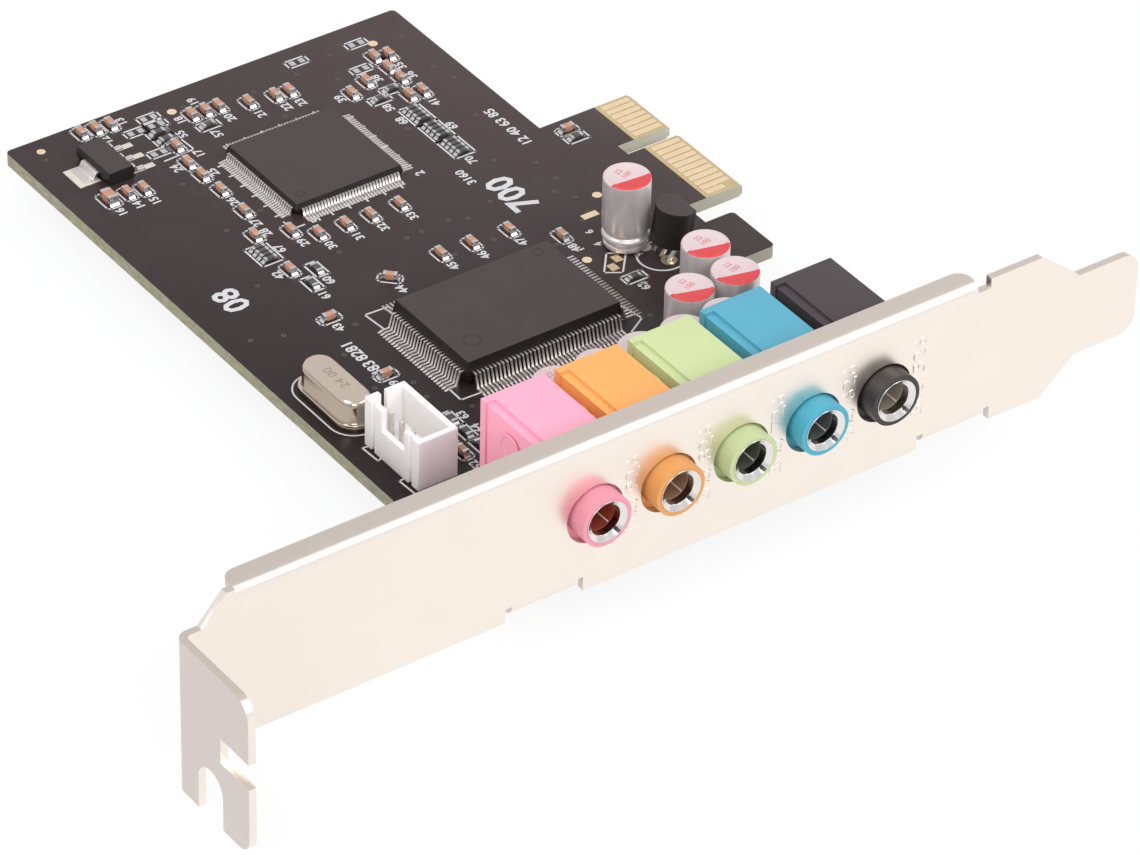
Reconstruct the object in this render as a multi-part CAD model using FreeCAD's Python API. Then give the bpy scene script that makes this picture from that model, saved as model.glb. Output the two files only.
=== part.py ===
import FreeCAD, Part
import math
import os

# Sound card: a slim computer expansion card. A folded steel slot bracket carries a
# printed circuit board with five colour-coded audio jacks, two quad flat chips, a
# regulator, a crystal, a cable header, a transistor and small capacitors and resistors.
#
# Sizes are in millimetres. X runs along the bracket from its screw ear to its tongue.
# Y runs from the bracket's outer face to the far end of the board. Z is up from the
# bracket's lower edge, and the components stand on top of the board. Everything is
# modelled from that corner and moved to the middle of its own floor area when written.

V = FreeCAD.Vector
ORIGIN = V(0, 0, 0)
X_AXIS = V(1, 0, 0)
Y_AXIS = V(0, 1, 0)
Z_AXIS = V(0, 0, 1)

# Row of audio jacks along the bracket, with a board screw on each side of it
JACK_NAMES = ("pink", "orange", "green", "blue", "black")
JACK_FIRST_X = 49.72
JACK_PITCH = 9.165
JACK_LAST_X = JACK_FIRST_X + (len(JACK_NAMES) - 1) * JACK_PITCH
SCREW_BEFORE_JACKS = 7.72
SCREW_AFTER_JACKS = 9.52
SCREW_X = (JACK_FIRST_X - SCREW_BEFORE_JACKS, JACK_LAST_X + SCREW_AFTER_JACKS)

# Slot bracket: one sheet, face upright, ear folded outward, tabs and flange inward
BRACKET_LENGTH = 120.02
BRACKET_WIDTH = 18.42
SHEET = 0.86
BEND_INSIDE = 0.5
BEND_OUTSIDE = BEND_INSIDE + SHEET
EAR_REACH = 11.43
EAR_TOP = 15.13
EAR_DROP = 3.70
EAR_CORNER = 2.4
EAR_FOOT_CORNER = 1.9
EAR_SLOT_WIDTH = 4.40
EAR_SLOT_CENTRE = 5.40
EAR_SLOT_DEPTH = 6.10
EAR_NOTCH_BASE = 4.60
EAR_NOTCH_HEIGHT = 3.10
EAR_NOTCH_DEPTH = 5.00
SHOULDER_LENGTH = 2.70
SHOULDER_RUN = 2.90
FLANGE_START = 6.60
FLANGE_LENGTH = 91.70
FLANGE_REACH = 3.00
FLANGE_CORNER = 1.60
RELIEF_WIDTH = 1.60
RELIEF_DEPTH = 1.20
TONGUE_LENGTH = 8.10
TONGUE_WIDTH = 10.19
TONGUE_BASE = 3.90
TONGUE_CORNER = 2.20
TAPER_RUN_LOW = 4.30
TAPER_RUN_HIGH = 5.30
TAB_OFFSET = 1.60
TAB_CENTRES = (SCREW_X[0] + TAB_OFFSET, SCREW_X[1])
TAB_WIDTH = 8.00
TAB_REACH = 6.10
TAB_HEIGHT = 0.33
TAB_RELIEF = 0.80
TAB_HOLE = 2.60
EAR_DEPTH = EAR_REACH + SHEET

# Circuit board, lying on the tabs
BOARD_THICKNESS = 1.60
BOARD_GAP = 0.10
BOARD_LEFT = 38.80
BOARD_RIGHT = 90.30
BOARD_FAR = 96.20
BOARD_FOOT_MARGIN = 4.20
BOARD_FOOT_RIGHT = SCREW_X[1] + BOARD_FOOT_MARGIN
BOARD_FOOT_DEPTH = 13.00
BOARD_WAIST = 92.70
HOOK_TIP = 98.60
HOOK_NEAR = 34.80
HOOK_WIDTH = 7.70
HOOK_GAP_ROOT = 94.90
BOARD_CORNER = 0.60
BOARD_NEAR = BEND_OUTSIDE + BOARD_GAP
BOARD_BOTTOM = TAB_HEIGHT + SHEET
BOARD_TOP = BOARD_BOTTOM + BOARD_THICKNESS

# Card edge connector: a short near row of contacts, a key notch and a far row
FINGER_TIP = 102.60
FINGER_NEAR = 46.16
NEAR_CONTACTS = 11
FAR_CONTACTS = 7
CONTACT_PITCH = 1.00
CONTACT_WIDTH = 0.70
CONTACT_MARGIN = 0.825
CONTACT_ROOT = 98.20
CONTACT_SETBACK = 0.70
CONTACT_THICKNESS = 0.05
SHORT_CONTACT_CUT = 1.20
KEY_NOTCH = 1.90
KEY_ROOT = 95.50
TIP_BEVEL = 0.50
TIP_BEVEL_DROP = 0.35
NEAR_ROW_WIDTH = (NEAR_CONTACTS - 1) * CONTACT_PITCH + 2 * CONTACT_MARGIN
FAR_ROW_WIDTH = (FAR_CONTACTS - 1) * CONTACT_PITCH + 2 * CONTACT_MARGIN
KEY_NEAR = FINGER_NEAR + NEAR_ROW_WIDTH
KEY_FAR = KEY_NEAR + KEY_NOTCH
FINGER_FAR = KEY_FAR + FAR_ROW_WIDTH

# Bracket screws, through the board and into the tabs
SCREW_Y = 3.90
SCREW_SHANK = 2.60
SCREW_HEAD = 4.80
SCREW_HEAD_HEIGHT = 1.60
SCREW_TAIL = 0.60
SCREW_CLEARANCE = 0.30

# Leads that pass through the board and are soldered underneath
LEAD_TAIL = 1.30
LEAD_CLEARANCE = 0.20

# Audio jacks
JACK_WIDTH = 7.80
JACK_DEPTH = 13.80
JACK_HEIGHT = 13.40
JACK_FRONT_GAP = 0.15
JACK_AXIS_HEIGHT = 6.80
BARREL_DIAMETER = 6.00
BARREL_PROUD = 2.10
BARREL_HOLE_CLEARANCE = 0.50
BARREL_HOLE_DROP = 0.30
SLEEVE_DIAMETER = 4.90
SLEEVE_BORE = 3.60
SLEEVE_LENGTH = 5.50
SLEEVE_PROUD = 0.15
SLEEVE_MOUTH = 0.45
SLEEVE_TAG_WIDTH = 1.20
SLEEVE_TAG_SETBACK = 4.60
JACK_WALL = 0.70
CHAMBER_ABOVE_AXIS = 2.50
CHAMBER_END_WALL = 1.10
SPRING_STRIP = 0.25
SPRING_WIDTH = 1.40
SPRING_FOOT = 2.70
SPRING_TOUCH = 1.80
SPRING_SETBACKS = ((1, 2.80), (-1, 2.80), (-1, 6.60))
REBATE_WIDTH = 1.20
REBATE_DEPTH = 0.35
REBATE_END = 0.90
SIDE_PANEL_DEPTH = 0.20
JACK_FRONT = SHEET + JACK_FRONT_GAP
JACK_FAR = JACK_FRONT + JACK_DEPTH
JACK_AXIS_Z = BOARD_TOP + JACK_AXIS_HEIGHT
JACK_TOP = BOARD_TOP + JACK_HEIGHT
SPRING_PLACES = [(side, JACK_FAR - setback) for side, setback in SPRING_SETBACKS]

# Audio controller, the larger quad flat package
AUDIO_CENTRE = (66.20, 39.00)
AUDIO_SIZE = (20.00, 14.00)
AUDIO_THICKNESS = 2.72
AUDIO_STANDOFF = 0.33
AUDIO_PITCH = 0.50
AUDIO_END_MARGIN = 0.75
AUDIO_LEAD_WIDTH = 0.22
AUDIO_LEAD_THICKNESS = 0.17
AUDIO_LEAD_REACH = 1.95
AUDIO_LEAD_RUN = 1.15

# Bus bridge, the thin quad flat package
BRIDGE_CENTRE = (65.50, 75.00)
BRIDGE_SIZE = (14.00, 14.00)
BRIDGE_THICKNESS = 1.40
BRIDGE_STANDOFF = 0.10
BRIDGE_PITCH = 0.40
BRIDGE_END_MARGIN = 0.80
BRIDGE_LEAD_WIDTH = 0.18
BRIDGE_LEAD_THICKNESS = 0.13
BRIDGE_LEAD_REACH = 1.00
PACKAGE_BEVEL = 0.22

# Regulator, with three leads on one side and a wide tab on the other
REGULATOR_CENTRE = (46.30, 87.40)
REGULATOR_WIDTH = 3.50
REGULATOR_LENGTH = 6.50
REGULATOR_THICKNESS = 1.60
REGULATOR_STANDOFF = 0.06
REGULATOR_BEVEL = 0.25
REGULATOR_PITCH = 2.30
REGULATOR_LEAD_WIDTH = 0.70
REGULATOR_TAB_WIDTH = 3.00
REGULATOR_LEAD_REACH = 1.75
REGULATOR_LEAD_THICKNESS = 0.28
REGULATOR_LEAD_SHOULDER = 0.45
REGULATOR_LEAD_RUN = 0.35

# Crystal in a low drawn can
CRYSTAL_CENTRE = (43.20, 37.20)
CRYSTAL_LENGTH = 10.20
CRYSTAL_WIDTH = 3.80
CRYSTAL_HEIGHT = 3.10
CRYSTAL_TOP_BEVEL = 0.40
CRYSTAL_RIM = 0.42
CRYSTAL_RIM_HEIGHT = 0.45
CRYSTAL_BASE_HEIGHT = 0.35
CRYSTAL_LEAD_SPACING = 4.88
CRYSTAL_LEAD = 0.43

# Cable header with four pins
HEADER_LEFT = 41.70
HEADER_NEAR = 19.90
HEADER_WIDTH = 5.00
HEADER_LENGTH = 9.90
HEADER_HEIGHT = 6.20
HEADER_WALL = 0.70
HEADER_FLOOR = 1.80
HEADER_PINS = 4
HEADER_PIN_PITCH = 2.00
HEADER_PIN = 0.50
HEADER_PIN_OFFSET = -0.45
HEADER_PIN_HEIGHT = 4.60
HEADER_SLOT_WIDTH = 0.70
HEADER_SLOT_DEPTH = 2.30
HEADER_WINDOW_NEAR = 2.70
HEADER_WINDOW_FAR = 3.20
HEADER_WINDOW_DEPTH = 2.60
HEADER_GROOVE_WIDTH = 0.50
HEADER_GROOVE_DEPTH = 0.35
HEADER_GROOVE_INSET = 1.30

# Transistor in a moulded D-shaped body, leaning on its leads
TRANSISTOR_CENTRE = (88.20, 40.10)
TRANSISTOR_DIAMETER = 4.60
TRANSISTOR_FLAT = 1.35
TRANSISTOR_HEIGHT = 4.40
TRANSISTOR_STANDOFF = 1.60
TRANSISTOR_LEAD = 0.42
TRANSISTOR_PITCH = 1.27
TRANSISTOR_LEAD_SETBACK = 0.90
TRANSISTOR_LEAN = 8.0

# Radial capacitors: a row behind the jacks and four more beside the audio controller
CAN_DIAMETER = 5.30
CAN_HEIGHT = 8.80
CAN_SEAT = 0.15
CAN_LEAD = 0.50
CAN_LEAD_SPACING = 2.00
CAN_ROW_COUNT = 5
CAN_ROW_FIRST_X = 57.70
CAN_ROW_PITCH = 5.42
CAN_ROW_GAP = 0.60
CAN_ROW_Y = JACK_FAR + CAN_ROW_GAP + CAN_DIAMETER / 2
CAN_ROW_LAST_X = CAN_ROW_FIRST_X + (CAN_ROW_COUNT - 1) * CAN_ROW_PITCH
CAN_STEPS = ((-0.58, 5.74), (5.22, 5.54), (5.52, 11.24))
FAR_CAN = (85.30, 44.10)

# Chip capacitors and resistors: length, width and height of each size
CHIP_0603 = (1.60, 0.80, 0.80)
CHIP_0805 = (2.00, 1.25, 1.10)
RESISTOR_0603 = (1.60, 0.80, 0.45)
ARRAY_ELEMENT = (1.60, 0.60, 0.50)
ARRAY_PITCH = 0.80
ARRAY_ELEMENTS = 4

# Places on the board: X, Y and the turn in degrees of the chip's length from +X
REGULATOR_CHIPS = (
    (47.50, 94.40, 90), (49.30, 94.30, 90), (51.10, 94.10, 90),
    (45.60, 81.80, 90), (47.50, 81.50, 90))
REGULATOR_LARGE_CHIPS = ((43.30, 81.90, 90),)
BRIDGE_CHIPS = (
    (54.90, 86.50, 90), (59.60, 90.70, 90), (61.30, 90.60, 90), (63.00, 90.50, 90),
    (66.20, 89.30, 90), (69.40, 88.80, 90), (71.20, 88.70, 90),
    (54.20, 83.00, 90), (54.20, 80.20, 90), (54.40, 76.70, 90), (54.30, 71.90, 90),
    (52.70, 67.40, 90), (56.50, 66.00, 90), (58.70, 63.90, 90), (62.10, 63.70, 90),
    (65.30, 63.60, 90), (69.10, 63.60, 90),
    (82.90, 89.10, 90), (84.50, 88.60, 90), (83.00, 86.40, 90), (83.00, 84.00, 90),
    (79.40, 85.50, 90), (76.70, 84.40, 90), (81.90, 80.60, 90), (83.60, 80.50, 90))
BRIDGE_RESISTORS = (
    (54.70, 88.30, 0), (54.70, 89.90, 0), (60.10, 88.10, 0),
    (78.70, 81.80, 0), (80.90, 82.80, 0), (54.90, 58.60, 90), (53.00, 56.60, 90))
AUDIO_CHIPS = (
    (52.40, 60.00, 90), (51.00, 50.30, 0), (60.50, 52.80, 135), (67.50, 53.40, 90),
    (71.40, 53.20, 90), (76.20, 53.00, 90), (80.30, 48.90, 90), (50.30, 38.50, 0),
    (49.30, 28.30, 90), (49.30, 25.60, 90), (49.30, 22.90, 90), (49.30, 18.00, 0))
AUDIO_RESISTORS = (
    (82.40, 38.40, 0), (51.60, 28.30, 90), (51.60, 25.60, 90), (51.60, 22.90, 90))
CONNECTOR_CHIPS = ((92.60, 65.30, 0),)
CONNECTOR_RESISTORS = ((92.60, 63.60, 0),)
RESISTOR_ARRAYS = (
    (51.70, 64.00, 90), (80.50, 77.00, 90), (80.50, 73.20, 90), (80.50, 69.40, 90))


def block(x, y, z, width, depth, height):
    return Part.makeBox(width, depth, height, V(x, y, z))


def prism(points, direction):
    wire = Part.makePolygon(points + [points[0]])
    return Part.Face(wire).extrude(direction)


def post(x, y, z_low, z_high, diameter):
    return Part.makeCylinder(diameter / 2, z_high - z_low, V(x, y, z_low))


def square_post(x, y, z_low, z_high, side):
    return block(x - side / 2, y - side / 2, z_low, side, side, z_high - z_low)


def turned(profile, centre, axis):
    """Revolve points of radius and distance along the axis about a Y or Z axis."""
    points = [centre + axis * along + X_AXIS * radius for radius, along in profile]
    wire = Part.makePolygon(points + [points[0]])
    return Part.Face(wire).revolve(centre, axis, 360)


def stadium(centre, length, width, z_low, height):
    """An upright solid with straight sides along Y and round ends."""
    x, y = centre
    r = width / 2
    run = length / 2 - r
    left = Part.LineSegment(V(x - r, y + run, z_low), V(x - r, y - run, z_low))
    near = Part.Arc(V(x - r, y - run, z_low), V(x, y - run - r, z_low), V(x + r, y - run, z_low))
    right = Part.LineSegment(V(x + r, y - run, z_low), V(x + r, y + run, z_low))
    far = Part.Arc(V(x + r, y + run, z_low), V(x, y + run + r, z_low), V(x - r, y + run, z_low))
    wire = Part.Wire([side.toShape() for side in (left, near, right, far)])
    return Part.Face(wire).extrude(Z_AXIS * height)


def quarter_ring(centre, axis, start, inner, outer, length):
    """A bend: a quarter of a tube that turns from the start direction about the axis."""
    end = FreeCAD.Rotation(axis, 90).multVec(start)
    middle = (start + end).normalize()
    arcs = Part.Wire([
        Part.LineSegment(centre + start * inner, centre + start * outer).toShape(),
        Part.Arc(centre + start * outer, centre + middle * outer, centre + end * outer).toShape(),
        Part.LineSegment(centre + end * outer, centre + end * inner).toShape(),
        Part.Arc(centre + end * inner, centre + middle * inner, centre + start * inner).toShape()])
    return Part.Face(arcs).extrude(axis * length)


def one_solid(shapes):
    joined = shapes[0].fuse(shapes[1:]).removeSplitter()
    return joined.Solids[0] if len(joined.Solids) == 1 else joined


def rounded(shape, radius, along, places):
    """Fillet the straight edges along one axis that pass through the given places."""
    def chosen(edge):
        if len(edge.Vertexes) != 2:
            return False
        run = edge.Vertexes[1].Point - edge.Vertexes[0].Point
        if run.Length < 1e-6 or run.cross(along).Length > 1e-6 * run.Length:
            return False
        start = edge.Vertexes[0].Point
        return any((place - start).cross(along).Length < 0.01 for place in places)
    return shape.makeFillet(radius, [edge for edge in shape.Edges if chosen(edge)])


# Slot bracket

def tab_spans():
    return [(centre - TAB_WIDTH / 2, centre + TAB_WIDTH / 2) for centre in TAB_CENTRES]


def bracket_face():
    """The upright face, with the shoulder, the tongue and room for every fold."""
    start = BEND_OUTSIDE
    tongue_root = BRACKET_LENGTH - TONGUE_LENGTH
    tongue_top = TONGUE_BASE + TONGUE_WIDTH
    shoulder_end = SHOULDER_LENGTH + SHOULDER_RUN
    outline = [
        (start, 0), (tongue_root - TAPER_RUN_LOW, 0), (tongue_root, TONGUE_BASE),
        (BRACKET_LENGTH, TONGUE_BASE), (BRACKET_LENGTH, tongue_top), (tongue_root, tongue_top),
        (tongue_root - TAPER_RUN_HIGH, BRACKET_WIDTH), (shoulder_end, BRACKET_WIDTH),
        (SHOULDER_LENGTH, EAR_TOP), (start, EAR_TOP)]
    face = prism([V(x, 0, z) for x, z in outline], Y_AXIS * SHEET)
    tips = [V(BRACKET_LENGTH, 0, TONGUE_BASE), V(BRACKET_LENGTH, 0, tongue_top)]
    face = rounded(face, TONGUE_CORNER, Y_AXIS, tips)
    flange_end = FLANGE_START + FLANGE_LENGTH
    cuts = [block(FLANGE_START, 0, BRACKET_WIDTH - BEND_OUTSIDE,
                  FLANGE_LENGTH, SHEET, BEND_OUTSIDE),
            block(flange_end, 0, BRACKET_WIDTH - RELIEF_DEPTH, RELIEF_WIDTH, SHEET, RELIEF_DEPTH)]
    fold_line = TAB_HEIGHT + BEND_OUTSIDE
    for low, high in tab_spans():
        cuts.append(block(low - TAB_RELIEF, 0, 0, TAB_WIDTH + 2 * TAB_RELIEF, SHEET, fold_line))
    for x in jack_axes():
        cuts.append(Part.makeCylinder(BARREL_DIAMETER / 2 + BARREL_HOLE_CLEARANCE, SHEET,
                                      V(x, 0, JACK_AXIS_Z - BARREL_HOLE_DROP), Y_AXIS))
    return face.cut(cuts)


def bracket_flange():
    """The stiffening flange folded back along the top edge."""
    bend_centre = V(FLANGE_START, BEND_OUTSIDE, BRACKET_WIDTH - BEND_OUTSIDE)
    bend = quarter_ring(bend_centre, -X_AXIS, -Y_AXIS, BEND_INSIDE, BEND_OUTSIDE, -FLANGE_LENGTH)
    leg = block(FLANGE_START, BEND_OUTSIDE, BRACKET_WIDTH - SHEET,
                FLANGE_LENGTH, FLANGE_REACH - BEND_OUTSIDE, SHEET)
    tips = [V(FLANGE_START, FLANGE_REACH, 0), V(FLANGE_START + FLANGE_LENGTH, FLANGE_REACH, 0)]
    return [bend, rounded(leg, FLANGE_CORNER, Z_AXIS, tips)]


def bracket_ear():
    """The ear folded outward, with its open screw slot and the notch in its edge."""
    tip = -EAR_DEPTH
    fold = -BEND_INSIDE
    plate = block(0, tip, -EAR_DROP, SHEET, fold - tip, EAR_TOP + EAR_DROP)
    plate = rounded(plate, EAR_CORNER, X_AXIS, [V(0, tip, EAR_TOP)])
    plate = rounded(plate, EAR_FOOT_CORNER, X_AXIS, [V(0, tip, -EAR_DROP)])
    slot_side = -EAR_SLOT_CENTRE - EAR_SLOT_WIDTH / 2
    slot_middle = EAR_SLOT_DEPTH - EAR_SLOT_WIDTH / 2
    slot = block(0, slot_side, -EAR_DROP, SHEET, EAR_SLOT_WIDTH, slot_middle)
    slot_end = Part.makeCylinder(EAR_SLOT_WIDTH / 2, SHEET,
                                 V(0, -EAR_SLOT_CENTRE, slot_middle - EAR_DROP), X_AXIS)
    notch = block(0, tip, EAR_NOTCH_BASE, SHEET, EAR_NOTCH_DEPTH, EAR_NOTCH_HEIGHT)
    plate = plate.cut([slot, slot_end, notch])
    bend = quarter_ring(V(BEND_OUTSIDE, fold, -EAR_DROP), -Z_AXIS, -X_AXIS,
                        BEND_INSIDE, BEND_OUTSIDE, -(EAR_TOP + EAR_DROP))
    return [plate, bend]


def bracket_tab(low):
    """A tab folded back under the board, with its screw hole."""
    bend_centre = V(low, BEND_OUTSIDE, TAB_HEIGHT + BEND_OUTSIDE)
    bend = quarter_ring(bend_centre, X_AXIS, -Y_AXIS, BEND_INSIDE, BEND_OUTSIDE, TAB_WIDTH)
    leg = block(low, BEND_OUTSIDE, TAB_HEIGHT, TAB_WIDTH, TAB_REACH - BEND_OUTSIDE, SHEET)
    tips = [V(low, TAB_REACH, TAB_HEIGHT), V(low + TAB_WIDTH, TAB_REACH, TAB_HEIGHT)]
    return [bend, rounded(leg, BOARD_CORNER, Z_AXIS, tips)]


def bracket():
    parts = [bracket_face()] + bracket_flange() + bracket_ear()
    for low, high in tab_spans():
        parts += bracket_tab(low)
    holes = [post(x, SCREW_Y, TAB_HEIGHT, BOARD_BOTTOM, TAB_HOLE) for x in SCREW_X]
    return one_solid(parts).cut(holes)


def bracket_screws():
    screws = []
    for x in SCREW_X:
        shank = post(x, SCREW_Y, TAB_HEIGHT - SCREW_TAIL, BOARD_TOP, SCREW_SHANK)
        head = post(x, SCREW_Y, BOARD_TOP, BOARD_TOP + SCREW_HEAD_HEIGHT, SCREW_HEAD)
        screws.append(one_solid([shank, head]))
    return Part.makeCompound(screws)


# Circuit board and its edge contacts

def board_outline():
    return [
        (BOARD_LEFT, BOARD_NEAR), (BOARD_FOOT_RIGHT, BOARD_NEAR),
        (BOARD_FOOT_RIGHT, BOARD_FOOT_DEPTH), (BOARD_WAIST, BOARD_FOOT_DEPTH),
        (BOARD_WAIST, HOOK_NEAR), (HOOK_TIP, HOOK_NEAR),
        (HOOK_TIP, HOOK_NEAR + HOOK_WIDTH), (HOOK_GAP_ROOT, HOOK_NEAR + HOOK_WIDTH),
        (HOOK_GAP_ROOT, FINGER_NEAR), (FINGER_TIP, FINGER_NEAR),
        (FINGER_TIP, KEY_NEAR), (KEY_ROOT, KEY_NEAR), (KEY_ROOT, KEY_FAR),
        (FINGER_TIP, KEY_FAR), (FINGER_TIP, FINGER_FAR), (BOARD_RIGHT, FINGER_FAR),
        (BOARD_RIGHT, BOARD_FAR), (BOARD_LEFT, BOARD_FAR)]


def finger_bevels():
    """Wedges that bevel the tip of the connector on both faces."""
    run = BOARD_FAR
    tip = FINGER_TIP
    wedges = []
    for z, drop in ((BOARD_TOP, -TIP_BEVEL_DROP), (BOARD_BOTTOM, TIP_BEVEL_DROP)):
        corner = [V(tip - TIP_BEVEL, 0, z), V(tip, 0, z), V(tip, 0, z + drop)]
        wedges.append(prism(corner, Y_AXIS * run))
    return wedges


def lead_places():
    """Each lead through the board: its place, and the size of its hole along X and Y."""
    slots = []
    for x in jack_axes():
        slots.append((x, SLEEVE_TAG_SETBACK - BARREL_PROUD, SLEEVE_TAG_WIDTH, SPRING_STRIP))
        for side, y in SPRING_PLACES:
            slots.append((x + side * (SPRING_FOOT + SPRING_STRIP / 2), y,
                          SPRING_STRIP, SPRING_WIDTH))
    return slots


def square_leads():
    """Each square wire through the board: its place and its width."""
    leads = [(x, y, HEADER_PIN) for x, y in header_pin_places()]
    leads += [(x, y, CRYSTAL_LEAD) for x, y in crystal_lead_places()]
    leads += [(x, y, TRANSISTOR_LEAD) for x, y in transistor_lead_places()]
    leads += [(x, y, CAN_LEAD) for x, y in can_lead_places()]
    return leads


def circuit_board():
    points = [V(x, y, BOARD_BOTTOM) for x, y in board_outline()]
    board = prism(points, Z_AXIS * BOARD_THICKNESS)
    corners = [V(BOARD_LEFT, BOARD_FAR, 0), V(BOARD_RIGHT, BOARD_FAR, 0),
               V(HOOK_TIP, HOOK_NEAR, 0), V(HOOK_TIP, HOOK_NEAR + HOOK_WIDTH, 0),
               V(BOARD_FOOT_RIGHT, BOARD_FOOT_DEPTH, 0)]
    board = rounded(board, BOARD_CORNER, Z_AXIS, corners)
    cuts = finger_bevels()
    for x in SCREW_X:
        cuts.append(post(x, SCREW_Y, BOARD_BOTTOM, BOARD_TOP, SCREW_SHANK + SCREW_CLEARANCE))
    for x, y, width, depth in lead_places():
        wide = width + 2 * LEAD_CLEARANCE
        deep = depth + 2 * LEAD_CLEARANCE
        cuts.append(block(x - wide / 2, y - deep / 2, BOARD_BOTTOM, wide, deep, BOARD_THICKNESS))
    for x, y, lead in square_leads():
        cuts.append(square_post(x, y, BOARD_BOTTOM, BOARD_TOP, lead + LEAD_CLEARANCE))
    return board.cut(cuts)


def edge_contacts():
    """Gold contacts on both faces, with one short presence contact on each face."""
    pads = []
    rows = ((FINGER_NEAR, NEAR_CONTACTS), (KEY_FAR, FAR_CONTACTS))
    reach = FINGER_TIP - CONTACT_SETBACK - CONTACT_ROOT
    for z, short_row, short_place in ((BOARD_TOP, 0, 0),
                                      (BOARD_BOTTOM - CONTACT_THICKNESS, 1, FAR_CONTACTS - 2)):
        for row, (start, count) in enumerate(rows):
            for i in range(count):
                short = (row, i) == (short_row, short_place)
                length = reach - SHORT_CONTACT_CUT if short else reach
                y = start + CONTACT_MARGIN + i * CONTACT_PITCH - CONTACT_WIDTH / 2
                pads.append(block(CONTACT_ROOT, y, z, length, CONTACT_WIDTH, CONTACT_THICKNESS))
    return Part.makeCompound(pads)


# Audio jacks

def jack_axes():
    return [JACK_FIRST_X + i * JACK_PITCH for i in range(len(JACK_NAMES))]


def jack_housing(x):
    """A moulded body with a barrel, a sleeve seat and a chamber open to the board."""
    left = x - JACK_WIDTH / 2
    body = block(left, JACK_FRONT, BOARD_TOP, JACK_WIDTH, JACK_DEPTH, JACK_HEIGHT)
    barrel = Part.makeCylinder(BARREL_DIAMETER / 2, BARREL_PROUD + JACK_FRONT,
                               V(x, -BARREL_PROUD, JACK_AXIS_Z), Y_AXIS)
    seat = Part.makeCylinder(SLEEVE_DIAMETER / 2, SLEEVE_LENGTH - SLEEVE_PROUD,
                             V(x, -BARREL_PROUD, JACK_AXIS_Z), Y_AXIS)
    chamber_near = SLEEVE_LENGTH - SLEEVE_PROUD - BARREL_PROUD
    chamber = block(left + JACK_WALL, chamber_near, BOARD_TOP, JACK_WIDTH - 2 * JACK_WALL,
                    JACK_FAR - CHAMBER_END_WALL - chamber_near,
                    JACK_AXIS_HEIGHT + CHAMBER_ABOVE_AXIS)
    tag_slot = block(x - SLEEVE_TAG_WIDTH / 2, SLEEVE_TAG_SETBACK - BARREL_PROUD - SPRING_STRIP / 2,
                     BOARD_TOP, SLEEVE_TAG_WIDTH, SPRING_STRIP, JACK_AXIS_HEIGHT)
    panel_run = JACK_DEPTH - REBATE_END
    panel = block(left, JACK_FRONT, BOARD_TOP, SIDE_PANEL_DEPTH, panel_run, JACK_HEIGHT)
    rebate = block(left, JACK_FRONT, JACK_TOP - REBATE_DEPTH, REBATE_WIDTH, panel_run, REBATE_DEPTH)
    shell = body.cut([panel, rebate]).fuse(barrel)
    return shell.cut([seat, chamber, tag_slot]).removeSplitter()


def jack_sleeve(x):
    """The metal ferrule that grips the plug, flared at its mouth."""
    face = -SLEEVE_PROUD
    outer = SLEEVE_DIAMETER / 2
    bore = SLEEVE_BORE / 2
    profile = [(bore, face + SLEEVE_MOUTH), (outer, face), (outer, face + SLEEVE_LENGTH),
               (bore, face + SLEEVE_LENGTH)]
    return turned(profile, V(x, -BARREL_PROUD, JACK_AXIS_Z), Y_AXIS)


def sleeve_tag(x):
    """The strip that joins the sleeve to the board."""
    foot = BOARD_BOTTOM - LEAD_TAIL
    return block(x - SLEEVE_TAG_WIDTH / 2, SLEEVE_TAG_SETBACK - BARREL_PROUD - SPRING_STRIP / 2,
                 foot, SLEEVE_TAG_WIDTH, SPRING_STRIP,
                 JACK_AXIS_Z - SLEEVE_DIAMETER / 2 - foot)


def contact_spring(x, side, y):
    """A strip that rises from the board and leans in to the plug's path."""
    foot = BOARD_BOTTOM - LEAD_TAIL
    path = [(SPRING_FOOT, foot), (SPRING_FOOT, JACK_AXIS_Z - SPRING_TOUCH),
            (SPRING_TOUCH, JACK_AXIS_Z + SPRING_TOUCH / 2)]
    outline = path + [(u + SPRING_STRIP, z) for u, z in reversed(path)]
    points = [V(x + side * u, y - SPRING_WIDTH / 2, z) for u, z in outline]
    return prism(points, Y_AXIS * SPRING_WIDTH)


def jack_contacts(x):
    springs = [contact_spring(x, side, y) for side, y in SPRING_PLACES]
    return Part.makeCompound(springs + [sleeve_tag(x)])


# Chip packages

def package_body(centre, size, standoff, thickness, lead):
    """A moulded block, widest in a band at its lead frame and drawn in above and below."""
    low = BOARD_TOP + standoff
    high = low + thickness
    frame = (low + high) / 2
    slices = []
    for across, along, run in ((X_AXIS, Y_AXIS, 0), (Y_AXIS, X_AXIS, 1)):
        half = size[run] / 2
        inset = half - PACKAGE_BEVEL
        outline = [(inset, low), (half, frame - lead / 2), (half, frame + lead / 2), (inset, high)]
        outline += [(-u, z) for u, z in reversed(outline)]
        start = along * (-size[1 - run] / 2)
        points = [start + across * u + V(centre[0], centre[1], z) for u, z in outline]
        slices.append(prism(points, along * size[1 - run]))
    return slices[0].common(slices[1]).Solids[0]


def lead_solid(outline, width):
    return prism([V(u, -width / 2, z) for u, z in outline], Y_AXIS * width)


def gull_wing(standoff, thickness, lead, shoulder, run, reach, width):
    """A lead that leaves the body level, drops to the board and ends in a flat foot."""
    top = BOARD_TOP + standoff + thickness / 2 + lead / 2
    foot = BOARD_TOP + lead
    outline = [(0, top), (shoulder, top), (shoulder + run, foot), (reach, foot),
               (reach, BOARD_TOP), (shoulder + run - lead, BOARD_TOP),
               (shoulder - lead, top - lead), (0, top - lead)]
    return lead_solid(outline, width)


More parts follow.
